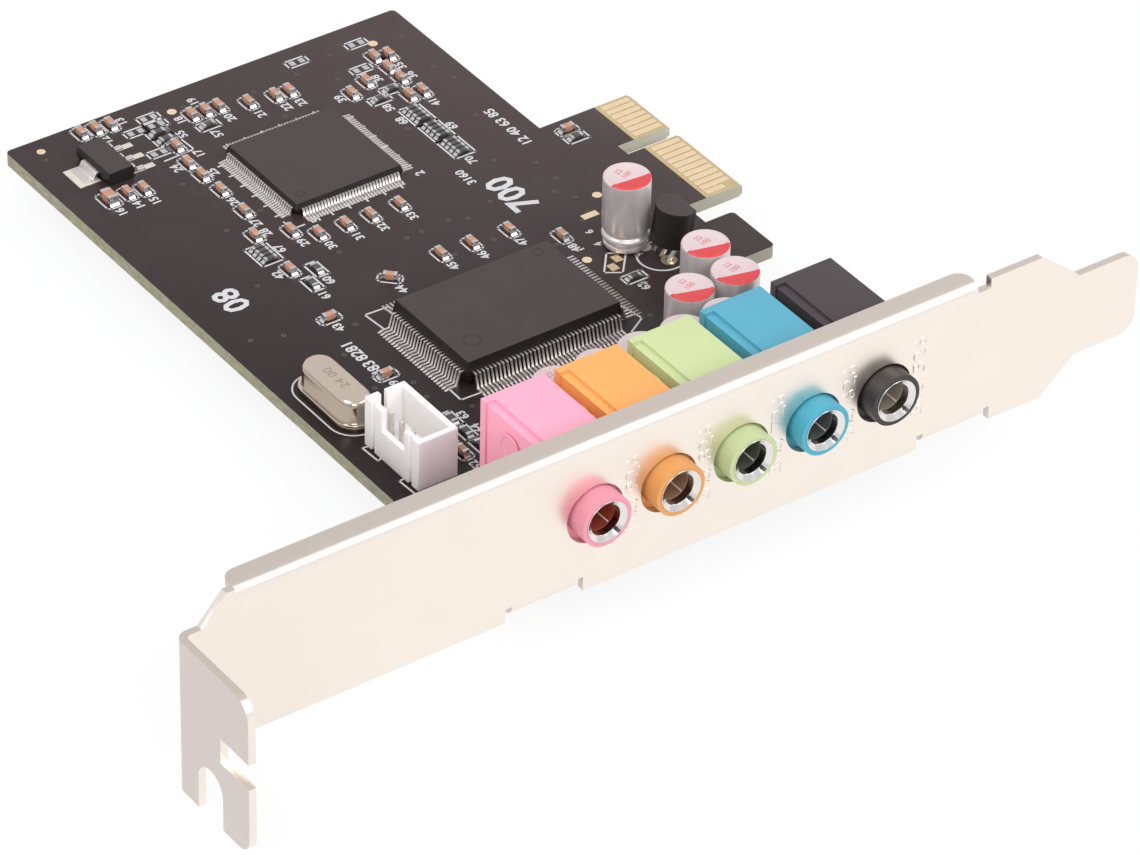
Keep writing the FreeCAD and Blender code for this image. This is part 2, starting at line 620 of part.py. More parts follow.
def sloped_lead(standoff, thickness, lead, run, reach, width):
    """A stiff lead that slopes from the body to a flat foot."""
    top = BOARD_TOP + standoff + thickness / 2 + lead / 2
    outline = [(0, top), (run, BOARD_TOP + lead), (reach, BOARD_TOP + lead),
               (reach, BOARD_TOP), (run - lead, BOARD_TOP), (0, top - lead)]
    return lead_solid(outline, width)


def short_lead(standoff, thickness, lead, reach, width):
    """A lead so short that it runs straight from the body to its pad."""
    top = BOARD_TOP + standoff + thickness / 2 + lead / 2
    return lead_solid([(0, top), (reach, BOARD_TOP + lead), (reach, BOARD_TOP), (0, top - lead)],
                      width)


def lead_ring(lead, centre, size, pitch, margin):
    """Copies of one lead along the four sides of a package."""
    leads = []
    for turn in range(4):
        reach = size[turn % 2] / 2
        side = size[1 - turn % 2]
        count = int(round((side - 2 * margin) / pitch)) + 1
        for i in range(count):
            copy = lead.copy()
            copy.translate(V(reach, (i - (count - 1) / 2) * pitch, 0))
            copy.rotate(ORIGIN, Z_AXIS, 90 * turn)
            copy.translate(V(centre[0], centre[1], 0))
            leads.append(copy)
    return Part.makeCompound(leads)


def audio_controller_body():
    return package_body(AUDIO_CENTRE, AUDIO_SIZE, AUDIO_STANDOFF, AUDIO_THICKNESS,
                        AUDIO_LEAD_THICKNESS)


def audio_controller_leads():
    lead = sloped_lead(AUDIO_STANDOFF, AUDIO_THICKNESS, AUDIO_LEAD_THICKNESS,
                       AUDIO_LEAD_RUN, AUDIO_LEAD_REACH, AUDIO_LEAD_WIDTH)
    return lead_ring(lead, AUDIO_CENTRE, AUDIO_SIZE, AUDIO_PITCH, AUDIO_END_MARGIN)


def bridge_chip_body():
    return package_body(BRIDGE_CENTRE, BRIDGE_SIZE, BRIDGE_STANDOFF, BRIDGE_THICKNESS,
                        BRIDGE_LEAD_THICKNESS)


def bridge_chip_leads():
    lead = short_lead(BRIDGE_STANDOFF, BRIDGE_THICKNESS, BRIDGE_LEAD_THICKNESS,
                      BRIDGE_LEAD_REACH, BRIDGE_LEAD_WIDTH)
    return lead_ring(lead, BRIDGE_CENTRE, BRIDGE_SIZE, BRIDGE_PITCH, BRIDGE_END_MARGIN)


def regulator_body():
    x, y = REGULATOR_CENTRE
    half = REGULATOR_WIDTH / 2
    low = BOARD_TOP + REGULATOR_STANDOFF
    high = low + REGULATOR_THICKNESS
    frame = (low + high) / 2
    band = REGULATOR_LEAD_THICKNESS / 2
    inset = half - REGULATOR_BEVEL
    outline = [(inset, low), (half, frame - band), (half, frame + band), (inset, high)]
    outline += [(-u, z) for u, z in reversed(outline)]
    points = [V(x + u, y - REGULATOR_LENGTH / 2, z) for u, z in outline]
    return prism(points, Y_AXIS * REGULATOR_LENGTH)


def regulator_leads():
    """Three narrow leads on the right and the wide heat tab on the left."""
    x, y = REGULATOR_CENTRE

    def formed(width):
        return gull_wing(REGULATOR_STANDOFF, REGULATOR_THICKNESS, REGULATOR_LEAD_THICKNESS,
                         REGULATOR_LEAD_SHOULDER, REGULATOR_LEAD_RUN, REGULATOR_LEAD_REACH, width)
    leads = []
    for step in (-1, 0, 1):
        lead = formed(REGULATOR_LEAD_WIDTH)
        lead.translate(V(x + REGULATOR_WIDTH / 2, y + step * REGULATOR_PITCH, 0))
        leads.append(lead)
    tab = formed(REGULATOR_TAB_WIDTH)
    tab.rotate(ORIGIN, Z_AXIS, 180)
    tab.translate(V(x - REGULATOR_WIDTH / 2, y, 0))
    return Part.makeCompound(leads + [tab])


# Crystal, header and transistor

def crystal_lead_places():
    x, y = CRYSTAL_CENTRE
    half = CRYSTAL_LEAD_SPACING / 2
    return [(x, y - half), (x, y + half)]


def crystal_base():
    length = CRYSTAL_LENGTH + 2 * CRYSTAL_RIM
    width = CRYSTAL_WIDTH + 2 * CRYSTAL_RIM
    return stadium(CRYSTAL_CENTRE, length, width, BOARD_TOP, CRYSTAL_BASE_HEIGHT)


def crystal_can():
    low = BOARD_TOP + CRYSTAL_BASE_HEIGHT
    rim = stadium(CRYSTAL_CENTRE, CRYSTAL_LENGTH + 2 * CRYSTAL_RIM,
                  CRYSTAL_WIDTH + 2 * CRYSTAL_RIM, low, CRYSTAL_RIM_HEIGHT)
    can = stadium(CRYSTAL_CENTRE, CRYSTAL_LENGTH, CRYSTAL_WIDTH, low, CRYSTAL_HEIGHT)
    top = low + CRYSTAL_HEIGHT
    edges = [edge for edge in can.Edges if edge.BoundBox.ZMin > top - 0.01]
    return one_solid([rim, can.makeChamfer(CRYSTAL_TOP_BEVEL, edges)])


def crystal_leads():
    foot = BOARD_BOTTOM - LEAD_TAIL
    return Part.makeCompound([square_post(x, y, foot, BOARD_TOP, CRYSTAL_LEAD)
                              for x, y in crystal_lead_places()])


def header_pin_places():
    x = HEADER_LEFT + HEADER_WIDTH / 2 + HEADER_PIN_OFFSET
    first = HEADER_NEAR + HEADER_LENGTH / 2 - (HEADER_PINS - 1) * HEADER_PIN_PITCH / 2
    return [(x, first + i * HEADER_PIN_PITCH) for i in range(HEADER_PINS)]


def header_housing():
    """A shrouded header with a slot in its far wall and a window in its left wall."""
    top = BOARD_TOP + HEADER_HEIGHT
    floor = BOARD_TOP + HEADER_FLOOR
    shell = block(HEADER_LEFT, HEADER_NEAR, BOARD_TOP, HEADER_WIDTH, HEADER_LENGTH, HEADER_HEIGHT)
    cavity = block(HEADER_LEFT + HEADER_WALL, HEADER_NEAR + HEADER_WALL, floor,
                   HEADER_WIDTH - 2 * HEADER_WALL, HEADER_LENGTH - 2 * HEADER_WALL, top - floor)
    pin_x = HEADER_LEFT + HEADER_WIDTH / 2 + HEADER_PIN_OFFSET
    end_slot = block(pin_x - HEADER_SLOT_WIDTH / 2, HEADER_NEAR + HEADER_LENGTH - HEADER_WALL,
                     top - HEADER_SLOT_DEPTH, HEADER_SLOT_WIDTH, HEADER_WALL, HEADER_SLOT_DEPTH)
    cuts = [cavity, end_slot]
    cuts.append(block(HEADER_LEFT, HEADER_NEAR + HEADER_WINDOW_NEAR, top - HEADER_WINDOW_DEPTH,
                      HEADER_WALL, HEADER_LENGTH - HEADER_WINDOW_NEAR - HEADER_WINDOW_FAR,
                      HEADER_WINDOW_DEPTH))
    for y in (HEADER_NEAR + HEADER_GROOVE_INSET,
              HEADER_NEAR + HEADER_LENGTH - HEADER_GROOVE_INSET - HEADER_GROOVE_WIDTH):
        cuts.append(block(HEADER_LEFT, y, BOARD_TOP, HEADER_GROOVE_DEPTH, HEADER_GROOVE_WIDTH,
                          HEADER_HEIGHT))
    for x, y in header_pin_places():
        cuts.append(square_post(x, y, BOARD_TOP, floor, HEADER_PIN))
    return shell.cut(cuts).removeSplitter()


def header_pins():
    foot = BOARD_BOTTOM - LEAD_TAIL
    return Part.makeCompound([square_post(x, y, foot, BOARD_TOP + HEADER_PIN_HEIGHT, HEADER_PIN)
                              for x, y in header_pin_places()])


def transistor_lead_places():
    x, y = TRANSISTOR_CENTRE
    return [(x - TRANSISTOR_LEAD_SETBACK, y + step * TRANSISTOR_PITCH) for step in (-1, 0, 1)]


def leaned(shape):
    """Lean a shape towards +X about the foot of the transistor."""
    x, y = TRANSISTOR_CENTRE
    shape.rotate(V(x, y, BOARD_TOP), Y_AXIS, TRANSISTOR_LEAN)
    return shape


def transistor_body():
    x, y = TRANSISTOR_CENTRE
    low = BOARD_TOP + TRANSISTOR_STANDOFF
    radius = TRANSISTOR_DIAMETER / 2
    body = post(x, y, low, low + TRANSISTOR_HEIGHT, TRANSISTOR_DIAMETER)
    flat = block(x + TRANSISTOR_FLAT, y - radius, low, radius - TRANSISTOR_FLAT, 2 * radius,
                 TRANSISTOR_HEIGHT)
    return leaned(body.cut(flat))


def transistor_leads():
    """Leads that stand straight in the board and slant above it to the leaning body."""
    low = BOARD_BOTTOM - LEAD_TAIL
    half = TRANSISTOR_LEAD / 2
    lean = math.radians(TRANSISTOR_LEAN)
    across = TRANSISTOR_LEAD_SETBACK + TRANSISTOR_STANDOFF * math.sin(lean)
    rise = BOARD_TOP + TRANSISTOR_STANDOFF * math.cos(lean)
    wide, drop = half * math.cos(lean), half * math.sin(lean)
    outline = [(-half, low), (half, low), (half, BOARD_TOP), (across + wide, rise - drop),
               (across - wide, rise + drop), (-half, BOARD_TOP)]
    leads = [prism([V(x + u, y - half, z) for u, z in outline], Y_AXIS * TRANSISTOR_LEAD)
             for x, y in transistor_lead_places()]
    return Part.makeCompound(leads)


# Radial capacitors

def can_places():
    """The row behind the jacks, three more set out from its end, and one by the hook."""
    row = [(CAN_ROW_FIRST_X + i * CAN_ROW_PITCH, CAN_ROW_Y) for i in range(CAN_ROW_COUNT)]
    beside = [(CAN_ROW_LAST_X + across, CAN_ROW_Y + along) for across, along in CAN_STEPS]
    return row + beside + [FAR_CAN]


def can_lead_places():
    places = []
    for x, y in can_places():
        places += [(x - CAN_LEAD_SPACING / 2, y), (x + CAN_LEAD_SPACING / 2, y)]
    return places


def capacitor_can(x, y):
    low = BOARD_TOP + CAN_SEAT
    return post(x, y, low, low + CAN_HEIGHT, CAN_DIAMETER)


def capacitor_leads():
    foot = BOARD_BOTTOM - LEAD_TAIL
    return Part.makeCompound([square_post(x, y, foot, BOARD_TOP + CAN_SEAT, CAN_LEAD)
                              for x, y in can_lead_places()])


# Chip capacitors, resistors and resistor arrays

def chip_part(size, x, y, turn):
    """One chip with its end caps, standing on the board."""
    length, width, height = size
    chip = block(-length / 2, -width / 2, 0, length, width, height)
    chip.rotate(ORIGIN, Z_AXIS, turn)
    chip.translate(V(x, y, BOARD_TOP))
    return chip


def chip_group(*kinds):
    chips = []
    for size, places in kinds:
        chips += [chip_part(size, x, y, turn) for x, y, turn in places]
    return Part.makeCompound(chips)


def resistor_arrays():
    """Packs of four resistors side by side, each element across the pack's length."""
    elements = []
    for x, y, turn in RESISTOR_ARRAYS:
        along = FreeCAD.Rotation(Z_AXIS, turn).multVec(X_AXIS)
        for i in range(ARRAY_ELEMENTS):
            step = along * ((i - (ARRAY_ELEMENTS - 1) / 2) * ARRAY_PITCH)
            elements.append(chip_part(ARRAY_ELEMENT, x + step.x, y + step.y, turn + 90))
    return Part.makeCompound(elements)


# Writing out

def sub_parts():
    parts = {
        "circuit_board": circuit_board(),
        "edge_contacts": edge_contacts(),
        "bracket": bracket(),
        "bracket_screws": bracket_screws(),
        "audio_controller_body": audio_controller_body(),
        "audio_controller_leads": audio_controller_leads(),
        "bridge_chip_body": bridge_chip_body(),
        "bridge_chip_leads": bridge_chip_leads(),
        "regulator_body": regulator_body(),
        "regulator_leads": regulator_leads(),
        "crystal_can": crystal_can(),
        "crystal_base": crystal_base(),
        "crystal_leads": crystal_leads(),
        "header_housing": header_housing(),
        "header_pins": header_pins(),
        "transistor_body": transistor_body(),
        "transistor_leads": transistor_leads(),
        "capacitor_leads": capacitor_leads(),
        "regulator_capacitors": chip_group((CHIP_0603, REGULATOR_CHIPS),
                                           (CHIP_0805, REGULATOR_LARGE_CHIPS)),
        "bridge_capacitors": chip_group((CHIP_0603, BRIDGE_CHIPS)),
        "bridge_resistors": chip_group((RESISTOR_0603, BRIDGE_RESISTORS)),
        "audio_capacitors": chip_group((CHIP_0603, AUDIO_CHIPS)),
        "audio_resistors": chip_group((RESISTOR_0603, AUDIO_RESISTORS)),
        "connector_capacitor": chip_group((CHIP_0603, CONNECTOR_CHIPS)),
        "connector_resistor": chip_group((RESISTOR_0603, CONNECTOR_RESISTORS)),
        "resistor_arrays": resistor_arrays(),
    }
    for name, x in zip(JACK_NAMES, jack_axes()):
        parts[name + "_jack_housing"] = jack_housing(x)
        parts[name + "_jack_sleeve"] = jack_sleeve(x)
        parts[name + "_jack_contacts"] = jack_contacts(x)
    for i, (x, y) in enumerate(can_places()):
        parts["capacitor_%d" % (i + 1)] = capacitor_can(x, y)
    return parts


def main():
    os.makedirs("parts", exist_ok=True)
    middle = V(-BRACKET_LENGTH / 2, (EAR_DEPTH - BOARD_FAR) / 2, EAR_DROP)
    for name, shape in sub_parts().items():
        shape.translate(middle)
        shape.exportStep("parts/" + name + ".step")


main()
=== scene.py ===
# %% [markdown]
# # A sound card
#
# The object is a slim expansion card: a dark printed board on a folded metal slot bracket,
# with five coloured audio jacks, two square chips, small capacitors and a white cable
# header. The solid model already holds every piece at its real size. This file dresses
# that model: it keeps the places and sizes, adds rounded edges, solder, printed marks
# and finishes, and sets up the camera and the light.
#
# The first cell loads the solid model and remembers the box that it fills.

# %% Load the solid model
import math
import random

import bmesh
import bpy
from mathutils import Matrix, Vector


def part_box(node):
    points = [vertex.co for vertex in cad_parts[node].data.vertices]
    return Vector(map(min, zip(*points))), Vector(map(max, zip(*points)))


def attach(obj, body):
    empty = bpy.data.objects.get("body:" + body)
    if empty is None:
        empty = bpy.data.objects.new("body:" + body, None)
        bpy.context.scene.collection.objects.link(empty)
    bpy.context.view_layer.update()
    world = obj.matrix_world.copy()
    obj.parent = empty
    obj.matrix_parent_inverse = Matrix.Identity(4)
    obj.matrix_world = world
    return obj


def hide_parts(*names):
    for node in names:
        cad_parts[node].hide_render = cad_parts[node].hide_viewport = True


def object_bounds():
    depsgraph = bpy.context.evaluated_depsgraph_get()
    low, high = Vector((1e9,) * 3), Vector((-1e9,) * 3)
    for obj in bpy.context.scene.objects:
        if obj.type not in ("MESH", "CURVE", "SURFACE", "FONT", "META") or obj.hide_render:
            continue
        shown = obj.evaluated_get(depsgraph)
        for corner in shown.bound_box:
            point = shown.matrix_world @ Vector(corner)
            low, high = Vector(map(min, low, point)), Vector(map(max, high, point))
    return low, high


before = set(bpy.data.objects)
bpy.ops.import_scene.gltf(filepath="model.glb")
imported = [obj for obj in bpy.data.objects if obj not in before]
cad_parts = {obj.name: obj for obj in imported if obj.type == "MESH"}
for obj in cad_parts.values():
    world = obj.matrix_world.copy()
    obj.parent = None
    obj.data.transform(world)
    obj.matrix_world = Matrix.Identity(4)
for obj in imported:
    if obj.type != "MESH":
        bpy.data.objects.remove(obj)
cad_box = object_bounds()
random.seed(7)
print("nodes in the solid model:", len(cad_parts))

# %% [markdown]
# Drawings of a card are in millimetres from one corner: X from the bracket's screw ear,
# Y from the bracket's outer face and Z from the bracket's lower edge. The scene is in
# metres about the middle of the card. Working in drawing millimetres keeps the numbers
# readable, so this cell finds where the drawing's corner lies in the scene, from the
# bracket and the board themselves.

# %% Drawing millimetres
MM = 0.001
BOARD_FAR = 96.2
EAR_DROP = 3.7
bracket_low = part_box("bracket")[0]
board_low, board_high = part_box("circuit_board")
CORNER = Vector((bracket_low.x, board_high.y - BOARD_FAR * MM, bracket_low.z + EAR_DROP * MM))
TO_SCENE = Matrix.Translation(CORNER) @ Matrix.Scale(MM, 4)
TO_DRAWING = TO_SCENE.inverted()
BOARD_TOP = (TO_DRAWING @ board_high).z
BOARD_BOTTOM = (TO_DRAWING @ board_low).z


def drawing_box(node):
    """The lowest and highest corner of a node, in drawing millimetres."""
    low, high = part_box(node)
    return TO_DRAWING @ low, TO_DRAWING @ high


print("board from", round(BOARD_BOTTOM, 2), "to", round(BOARD_TOP, 2), "mm up")

# %% [markdown]
# A product picture like this one is taken from far away with a long lens, which is why
# parallel edges stay almost parallel. The camera stands 0.7 m off, looks down at about
# 37 degrees, and is turned about 36 degrees round the card's bracket. The view is placed
# by angles and a distance instead of a pasted matrix, so that each number has a meaning.

# %% Camera
LOOK_AT = Vector((60.0, 30.0, 5.0))
AROUND = math.radians(-36.10)
ABOVE = math.radians(36.74)
ROLL = math.radians(1.34)
DISTANCE = 706.9
SLIDE = Vector((6.48, -6.25))
LENS_MM = 213.0

back = Vector((math.sin(AROUND) * math.cos(ABOVE), -math.cos(AROUND) * math.cos(ABOVE),
               math.sin(ABOVE)))
right = Vector((math.cos(AROUND), math.sin(AROUND), 0.0))
up = back.cross(right)
across = right * math.cos(ROLL) + up * math.sin(ROLL)
upright = up * math.cos(ROLL) - right * math.sin(ROLL)
spot = LOOK_AT + back * DISTANCE + across * SLIDE.x + upright * SLIDE.y

camera_data = bpy.data.cameras.new("camera")
camera_data.lens = LENS_MM
camera_data.sensor_width = 36.0
camera_data.clip_start = 0.01
camera = bpy.data.objects.new("camera", camera_data)
bpy.context.scene.collection.objects.link(camera)
camera.matrix_world = Matrix.Translation(TO_SCENE @ spot) @ Matrix(
    (across, upright, back)).transposed().to_4x4()
bpy.context.scene.camera = camera
bpy.context.scene.view_settings.view_transform = "Standard"
print("camera at", [round(v, 3) for v in camera.matrix_world.translation])

# %% [markdown]
# Shader nodes can be joined one by one, but sums of them read badly. A small class wraps
# a node's output so that Python's own signs add Math nodes: `grain * 0.2 + 0.4` becomes
# two of them. A second class makes one material: any node, the usual noise and masks,
# and the final surface. Only what varies over a surface is linked. Everything constant
# is set on the shader's own socket.

# %% Shader sums
class Value:
    """One number that varies over a surface."""

    def __init__(self, finish, socket):
        self.finish = finish
        self.socket = socket

    def sum(self, operation, first, second):
        return self.finish.node("ShaderNodeMath", {"operation": operation}, {0: first, 1: second})

    def __add__(self, other):
        return self.sum("ADD", self, other)

    def __mul__(self, other):
        return self.sum("MULTIPLY", self, other)

    def __gt__(self, other):
        return self.sum("GREATER_THAN", self, other)

    def __lt__(self, other):
        return self.sum("LESS_THAN", self, other)

    def size(self):
        return self.sum("ABSOLUTE", self, 0.0)


class Finish:
    """One material while it is being made."""

    def __init__(self, name):
        self.material = bpy.data.materials.new(name)
        self.material.use_nodes = True
        self.tree = self.material.node_tree
        self.tree.nodes.clear()

    def node(self, kind, settings=None, inputs=None, output=0):
        """Adds one node: its settings first, then values or links for its sockets."""
        made = self.tree.nodes.new(kind)
        for name, value in (settings or {}).items():
            setattr(made, name, value)
        for name, value in (inputs or {}).items():
            if isinstance(value, Value):
                self.tree.links.new(value.socket, made.inputs[name])
            elif isinstance(value, tuple) and len(value) == 3 and made.inputs[name].type == "RGBA":
                made.inputs[name].default_value = (*value, 1.0)
            else:
                made.inputs[name].default_value = value
        return Value(self, made.outputs[output]) if made.outputs else None

    def place(self):
        """Where a point lies on its piece, in metres."""
        return self.node("ShaderNodeTexCoord", output="Object")

    def part(self, vector, axis):
        return self.node("ShaderNodeSeparateXYZ", inputs={0: vector}, output="XYZ".index(axis))

    def facing(self, axis):
        return self.part(self.node("ShaderNodeNewGeometry", output="Normal"), axis)

    def grain(self, size_mm, detail=2.0, stretch=(1.0, 1.0, 1.0)):
        """Soft cloudy noise whose spots are about size_mm across."""
        vector = self.node("ShaderNodeVectorMath", {"operation": "MULTIPLY"},
                           {0: self.place(), 1: stretch})
        return self.node("ShaderNodeTexNoise", inputs={
            "Vector": vector, "Scale": 1.0 / (size_mm * MM), "Detail": detail})

    def cells(self, size_mm, distance, uneven):
        """Cells about size_mm across, each rising from its own middle."""
        return self.node("ShaderNodeTexVoronoi", {"feature": "F1", "distance": distance}, {
            "Vector": self.place(), "Scale": 1.0 / (size_mm * MM), "Randomness": uneven})

    def ramp(self, value, low, high):
        """From 0 to 1 while a value goes from low to high."""
        return self.node("ShaderNodeMapRange", inputs={0: value, 1: low, 2: high})

    def colours(self, mask, first, second):
        return self.node("ShaderNodeMix", {"data_type": "RGBA"},
                         {0: mask, 6: first, 7: second}, output=2)

    def spread(self, value, low, high):
        """A value from about 0 to 1 stretched to run from low to high."""
        return value * (high - low) + low

    def bump(self, height, depth_mm, strength=0.5):
        return self.node("ShaderNodeBump", inputs={
            "Strength": strength, "Distance": depth_mm * MM, "Height": height})

    def surface(self, **sockets):
        """Ends the material in one surface shader, with the sockets given by name."""
        named = {name.replace("_", " ").title().replace("Ior", "IOR"): value
                 for name, value in sockets.items()}
        shader = self.node("ShaderNodeBsdfPrincipled", inputs=named)
        self.node("ShaderNodeOutputMaterial", inputs={"Surface": shader})
        return self.material


def scaled(colour, share):
    """A colour made lighter or darker."""
    return tuple(v * share for v in colour)


print("shader helpers ready")

# %% [markdown]
# The stage is one pale floor under a pale sky. Metal shows what stands round it, so the
# floor and the sky also appear white in reflections, which gives the bracket its clean
# creamy face. Three large soft lamps add the rest: one in front on the left, one high on
# the left that gives the cans a bright side, and one on the right that the rounded fold
# along the bracket's top mirrors as a white line.

# %% Floor, sky and lamps
FLOOR_HALF = 2.0


def stage_mix(finish, lit, shown, share):
    """Shows a plain white to the camera and to mirrors, and the lit shader to the rest."""
    path = finish.node("ShaderNodeLightPath", output="Is Camera Ray")
    glossy = finish.node("ShaderNodeLightPath", output="Is Glossy Ray")
    through = finish.node("ShaderNodeLightPath", output="Is Transmission Ray")
    return finish.node("ShaderNodeMixShader",
                       inputs={0: (path + glossy + through) * share, 1: lit, 2: shown})


floor_finish = Finish("floor_paper")
paper = floor_finish.node("ShaderNodeBsdfDiffuse", inputs={"Color": (0.86, 0.86, 0.86)})
white = floor_finish.node("ShaderNodeEmission", inputs={"Color": (1.0, 1.0, 1.0), "Strength": 1.0})
floor_finish.node("ShaderNodeOutputMaterial",
                  inputs={"Surface": stage_mix(floor_finish, paper, white, 0.88)})
floor_mesh = bpy.data.meshes.new("floor")
floor_mesh.from_pydata([(-FLOOR_HALF, -FLOOR_HALF, 0), (FLOOR_HALF, -FLOOR_HALF, 0),
                        (FLOOR_HALF, FLOOR_HALF, 0), (-FLOOR_HALF, FLOOR_HALF, 0)],
                       [], [(0, 1, 2, 3)])
floor_mesh.materials.append(floor_finish.material)
floor = bpy.data.objects.new("floor", floor_mesh)
floor.location.z = cad_box[0][2] - 0.00005
bpy.context.scene.collection.objects.link(floor)

world = bpy.data.worlds.new("sky")
world.use_nodes = True
sky = world.node_tree.nodes["Background"]
sky.inputs["Color"].default_value = (0.93, 0.95, 1.0, 1.0)
sky.inputs["Strength"].default_value = 0.80
bpy.context.scene.world = world


def lamp(name, spot, size, power):
    data = bpy.data.lights.new(name, "AREA")
    data.shape = "RECTANGLE"
    data.size, data.size_y = size
    data.energy = power
    made = bpy.data.objects.new(name, data)
    made.location = spot
    made.rotation_euler = (-Vector(spot)).to_track_quat("-Z", "Y").to_euler()
    bpy.context.scene.collection.objects.link(made)


lamp("front_lamp", (-0.30, -0.75, 0.50), (0.6, 0.4), 3.0)
lamp("top_lamp", (-0.55, 0.10, 0.90), (0.5, 0.5), 4.0)
lamp("fold_lamp", (0.42, -0.58, 0.60), (0.4, 0.4), 2.4)

# %% [markdown]
# Most pieces here are either a copy of a solid with its edges softened, or a form built
# from rings of points. These helpers do both. `solids` lists the separate bodies inside
# one node, each with its centre, its size and the direction of its length, so small
# parts can be dressed one by one without typing their places again.

# %% Mesh helpers
WELD = 1e-6
SAME_PLANE = 0.6
BEVEL_FROM = 38.0


def add_piece(name, mesh, material, replaces=(), smooth=35.0, at=None):
    """Adds one dressed piece that rides with the card."""
    made = bpy.data.objects.new(name, mesh)
    if at is not None:
        made.location = at
    bpy.context.scene.collection.objects.link(made)
    mesh.materials.clear()
    mesh.materials.append(material)
    mesh.shade_smooth()
    mesh.set_sharp_from_angle(angle=math.radians(smooth))
    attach(made, "root")
    if replaces:
        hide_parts(*replaces)
    return made


def mesh_from(bm, name, drawing=True):
    """Turns built faces into a mesh, from drawing millimetres unless told otherwise."""
    if drawing:
        bm.transform(TO_SCENE)
    bmesh.ops.recalc_face_normals(bm, faces=bm.faces)
    mesh = bpy.data.meshes.new(name)
    bm.to_mesh(mesh)
    bm.free()
    return mesh


def dress(name, bm, material, replaces=(), smooth=35.0):
    """Adds a piece from faces that were built in drawing millimetres."""
    return add_piece(name, mesh_from(bm, name), material, replaces, smooth)


def node_faces(node):
    """The faces of a solid, with the seams between its triangles taken out again."""
    bm = bmesh.new()
    bm.from_mesh(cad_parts[node].data)
    bmesh.ops.remove_doubles(bm, verts=bm.verts, dist=WELD)
    bmesh.ops.dissolve_limit(bm, angle_limit=math.radians(SAME_PLANE), verts=bm.verts,
                             edges=bm.edges)
    return bm


def softened(node, name, material, edge_mm, segments=2):
    """A copy of a solid with its sharp edges rounded, standing for that solid."""
    made = add_piece(name, mesh_from(node_faces(node), name, drawing=False), material,
                     (node,))
    bevel = made.modifiers.new("soft_edges", "BEVEL")
    bevel.width = edge_mm * MM
    bevel.segments = segments
    bevel.limit_method = "ANGLE"
    bevel.angle_limit = math.radians(BEVEL_FROM)


def solids(node):
    """Each separate body inside a node: its box, its length's turn and its lowest place."""
    bm = bmesh.new()
    bm.from_mesh(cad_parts[node].data)
    bmesh.ops.remove_doubles(bm, verts=bm.verts, dist=WELD)
    bm.transform(TO_DRAWING)
    found, seen = [], set()
    for start in bm.verts:
        if start in seen:
            continue
        seen.add(start)
        group, waiting = [], [start]
        while waiting:
            vertex = waiting.pop()
            group.append(vertex.co.copy())
            for edge in vertex.link_edges:
                other = edge.other_vert(vertex)
                if other not in seen:
                    seen.add(other)
                    waiting.append(other)
        low = Vector(min(p[i] for p in group) for i in range(3))
        high = Vector(max(p[i] for p in group) for i in range(3))
        middle = (low + high) / 2
        xx = sum((p.x - middle.x) ** 2 for p in group)
        yy = sum((p.y - middle.y) ** 2 for p in group)
        xy = sum((p.x - middle.x) * (p.y - middle.y) for p in group)
        turn = 0.5 * math.atan2(2 * xy, xx - yy)
        heading = Vector((math.cos(turn), math.sin(turn), 0.0))
        side = Vector((-heading.y, heading.x, 0.0))
        size = Vector((2 * max(abs((p - middle).dot(heading)) for p in group),
                       2 * max(abs((p - middle).dot(side)) for p in group), high.z - low.z))
        tail = [p for p in group if p.z < low.z + 0.05]
        found.append({"middle": middle, "low": low, "high": high, "turn": turn, "size": size,
                      "foot": sum(tail, Vector()) / len(tail)})
    bm.free()
    return found


def soft_block(bm, low, high, radius, matrix=None):
    """A block with rounded edges between two corners, then moved by a matrix."""
    low, high = Vector(low), Vector(high)
    fit = Matrix.Translation((low + high) / 2) @ Matrix.Diagonal((*(high - low), 1.0))
    made = bmesh.ops.create_cube(bm, size=1.0, matrix=fit)
    edges = list(dict.fromkeys(edge for vertex in made["verts"] for edge in vertex.link_edges))
    verts = made["verts"]
    if radius:
        result = bmesh.ops.bevel(bm, geom=edges, offset=radius, segments=2, profile=0.5,
                                 affect="EDGES", clamp_overlap=True)
        verts = [vertex for face in result["faces"] for vertex in face.verts]
        verts = list(dict.fromkeys(verts + [v for v in made["verts"] if v.is_valid]))
    if matrix is not None:
        bmesh.ops.transform(bm, matrix=matrix, verts=verts)


def skin(bm, rings, closed=True):
    """Joins rings of equally many points with faces, and may close both ends."""
    rows = [[bm.verts.new(point) for point in ring] for ring in rings]
    count = len(rows[0])
    for first, second in zip(rows, rows[1:]):
        for i in range(count):
            j = (i + 1) % count
            bm.faces.new((first[i], first[j], second[j], second[i]))
    if closed:
        bm.faces.new(rows[0])
        bm.faces.new(rows[-1])


def circle(radius, height, count, centre=(0.0, 0.0)):
    return [Vector((centre[0] + radius * math.cos(2 * math.pi * i / count),
                    centre[1] + radius * math.sin(2 * math.pi * i / count), height))
            for i in range(count)]


def disc(bm, radius, low, high, centre, count=24, hole=0.0):
    """A flat round piece, or a flat ring where it has a hole."""
    rings = [circle(radius, low, count, centre), circle(radius, high, count, centre)]
    if hole:
        rings = [circle(hole, low, count, centre), *rings, circle(hole, high, count, centre)]
    skin(bm, rings, not hole)


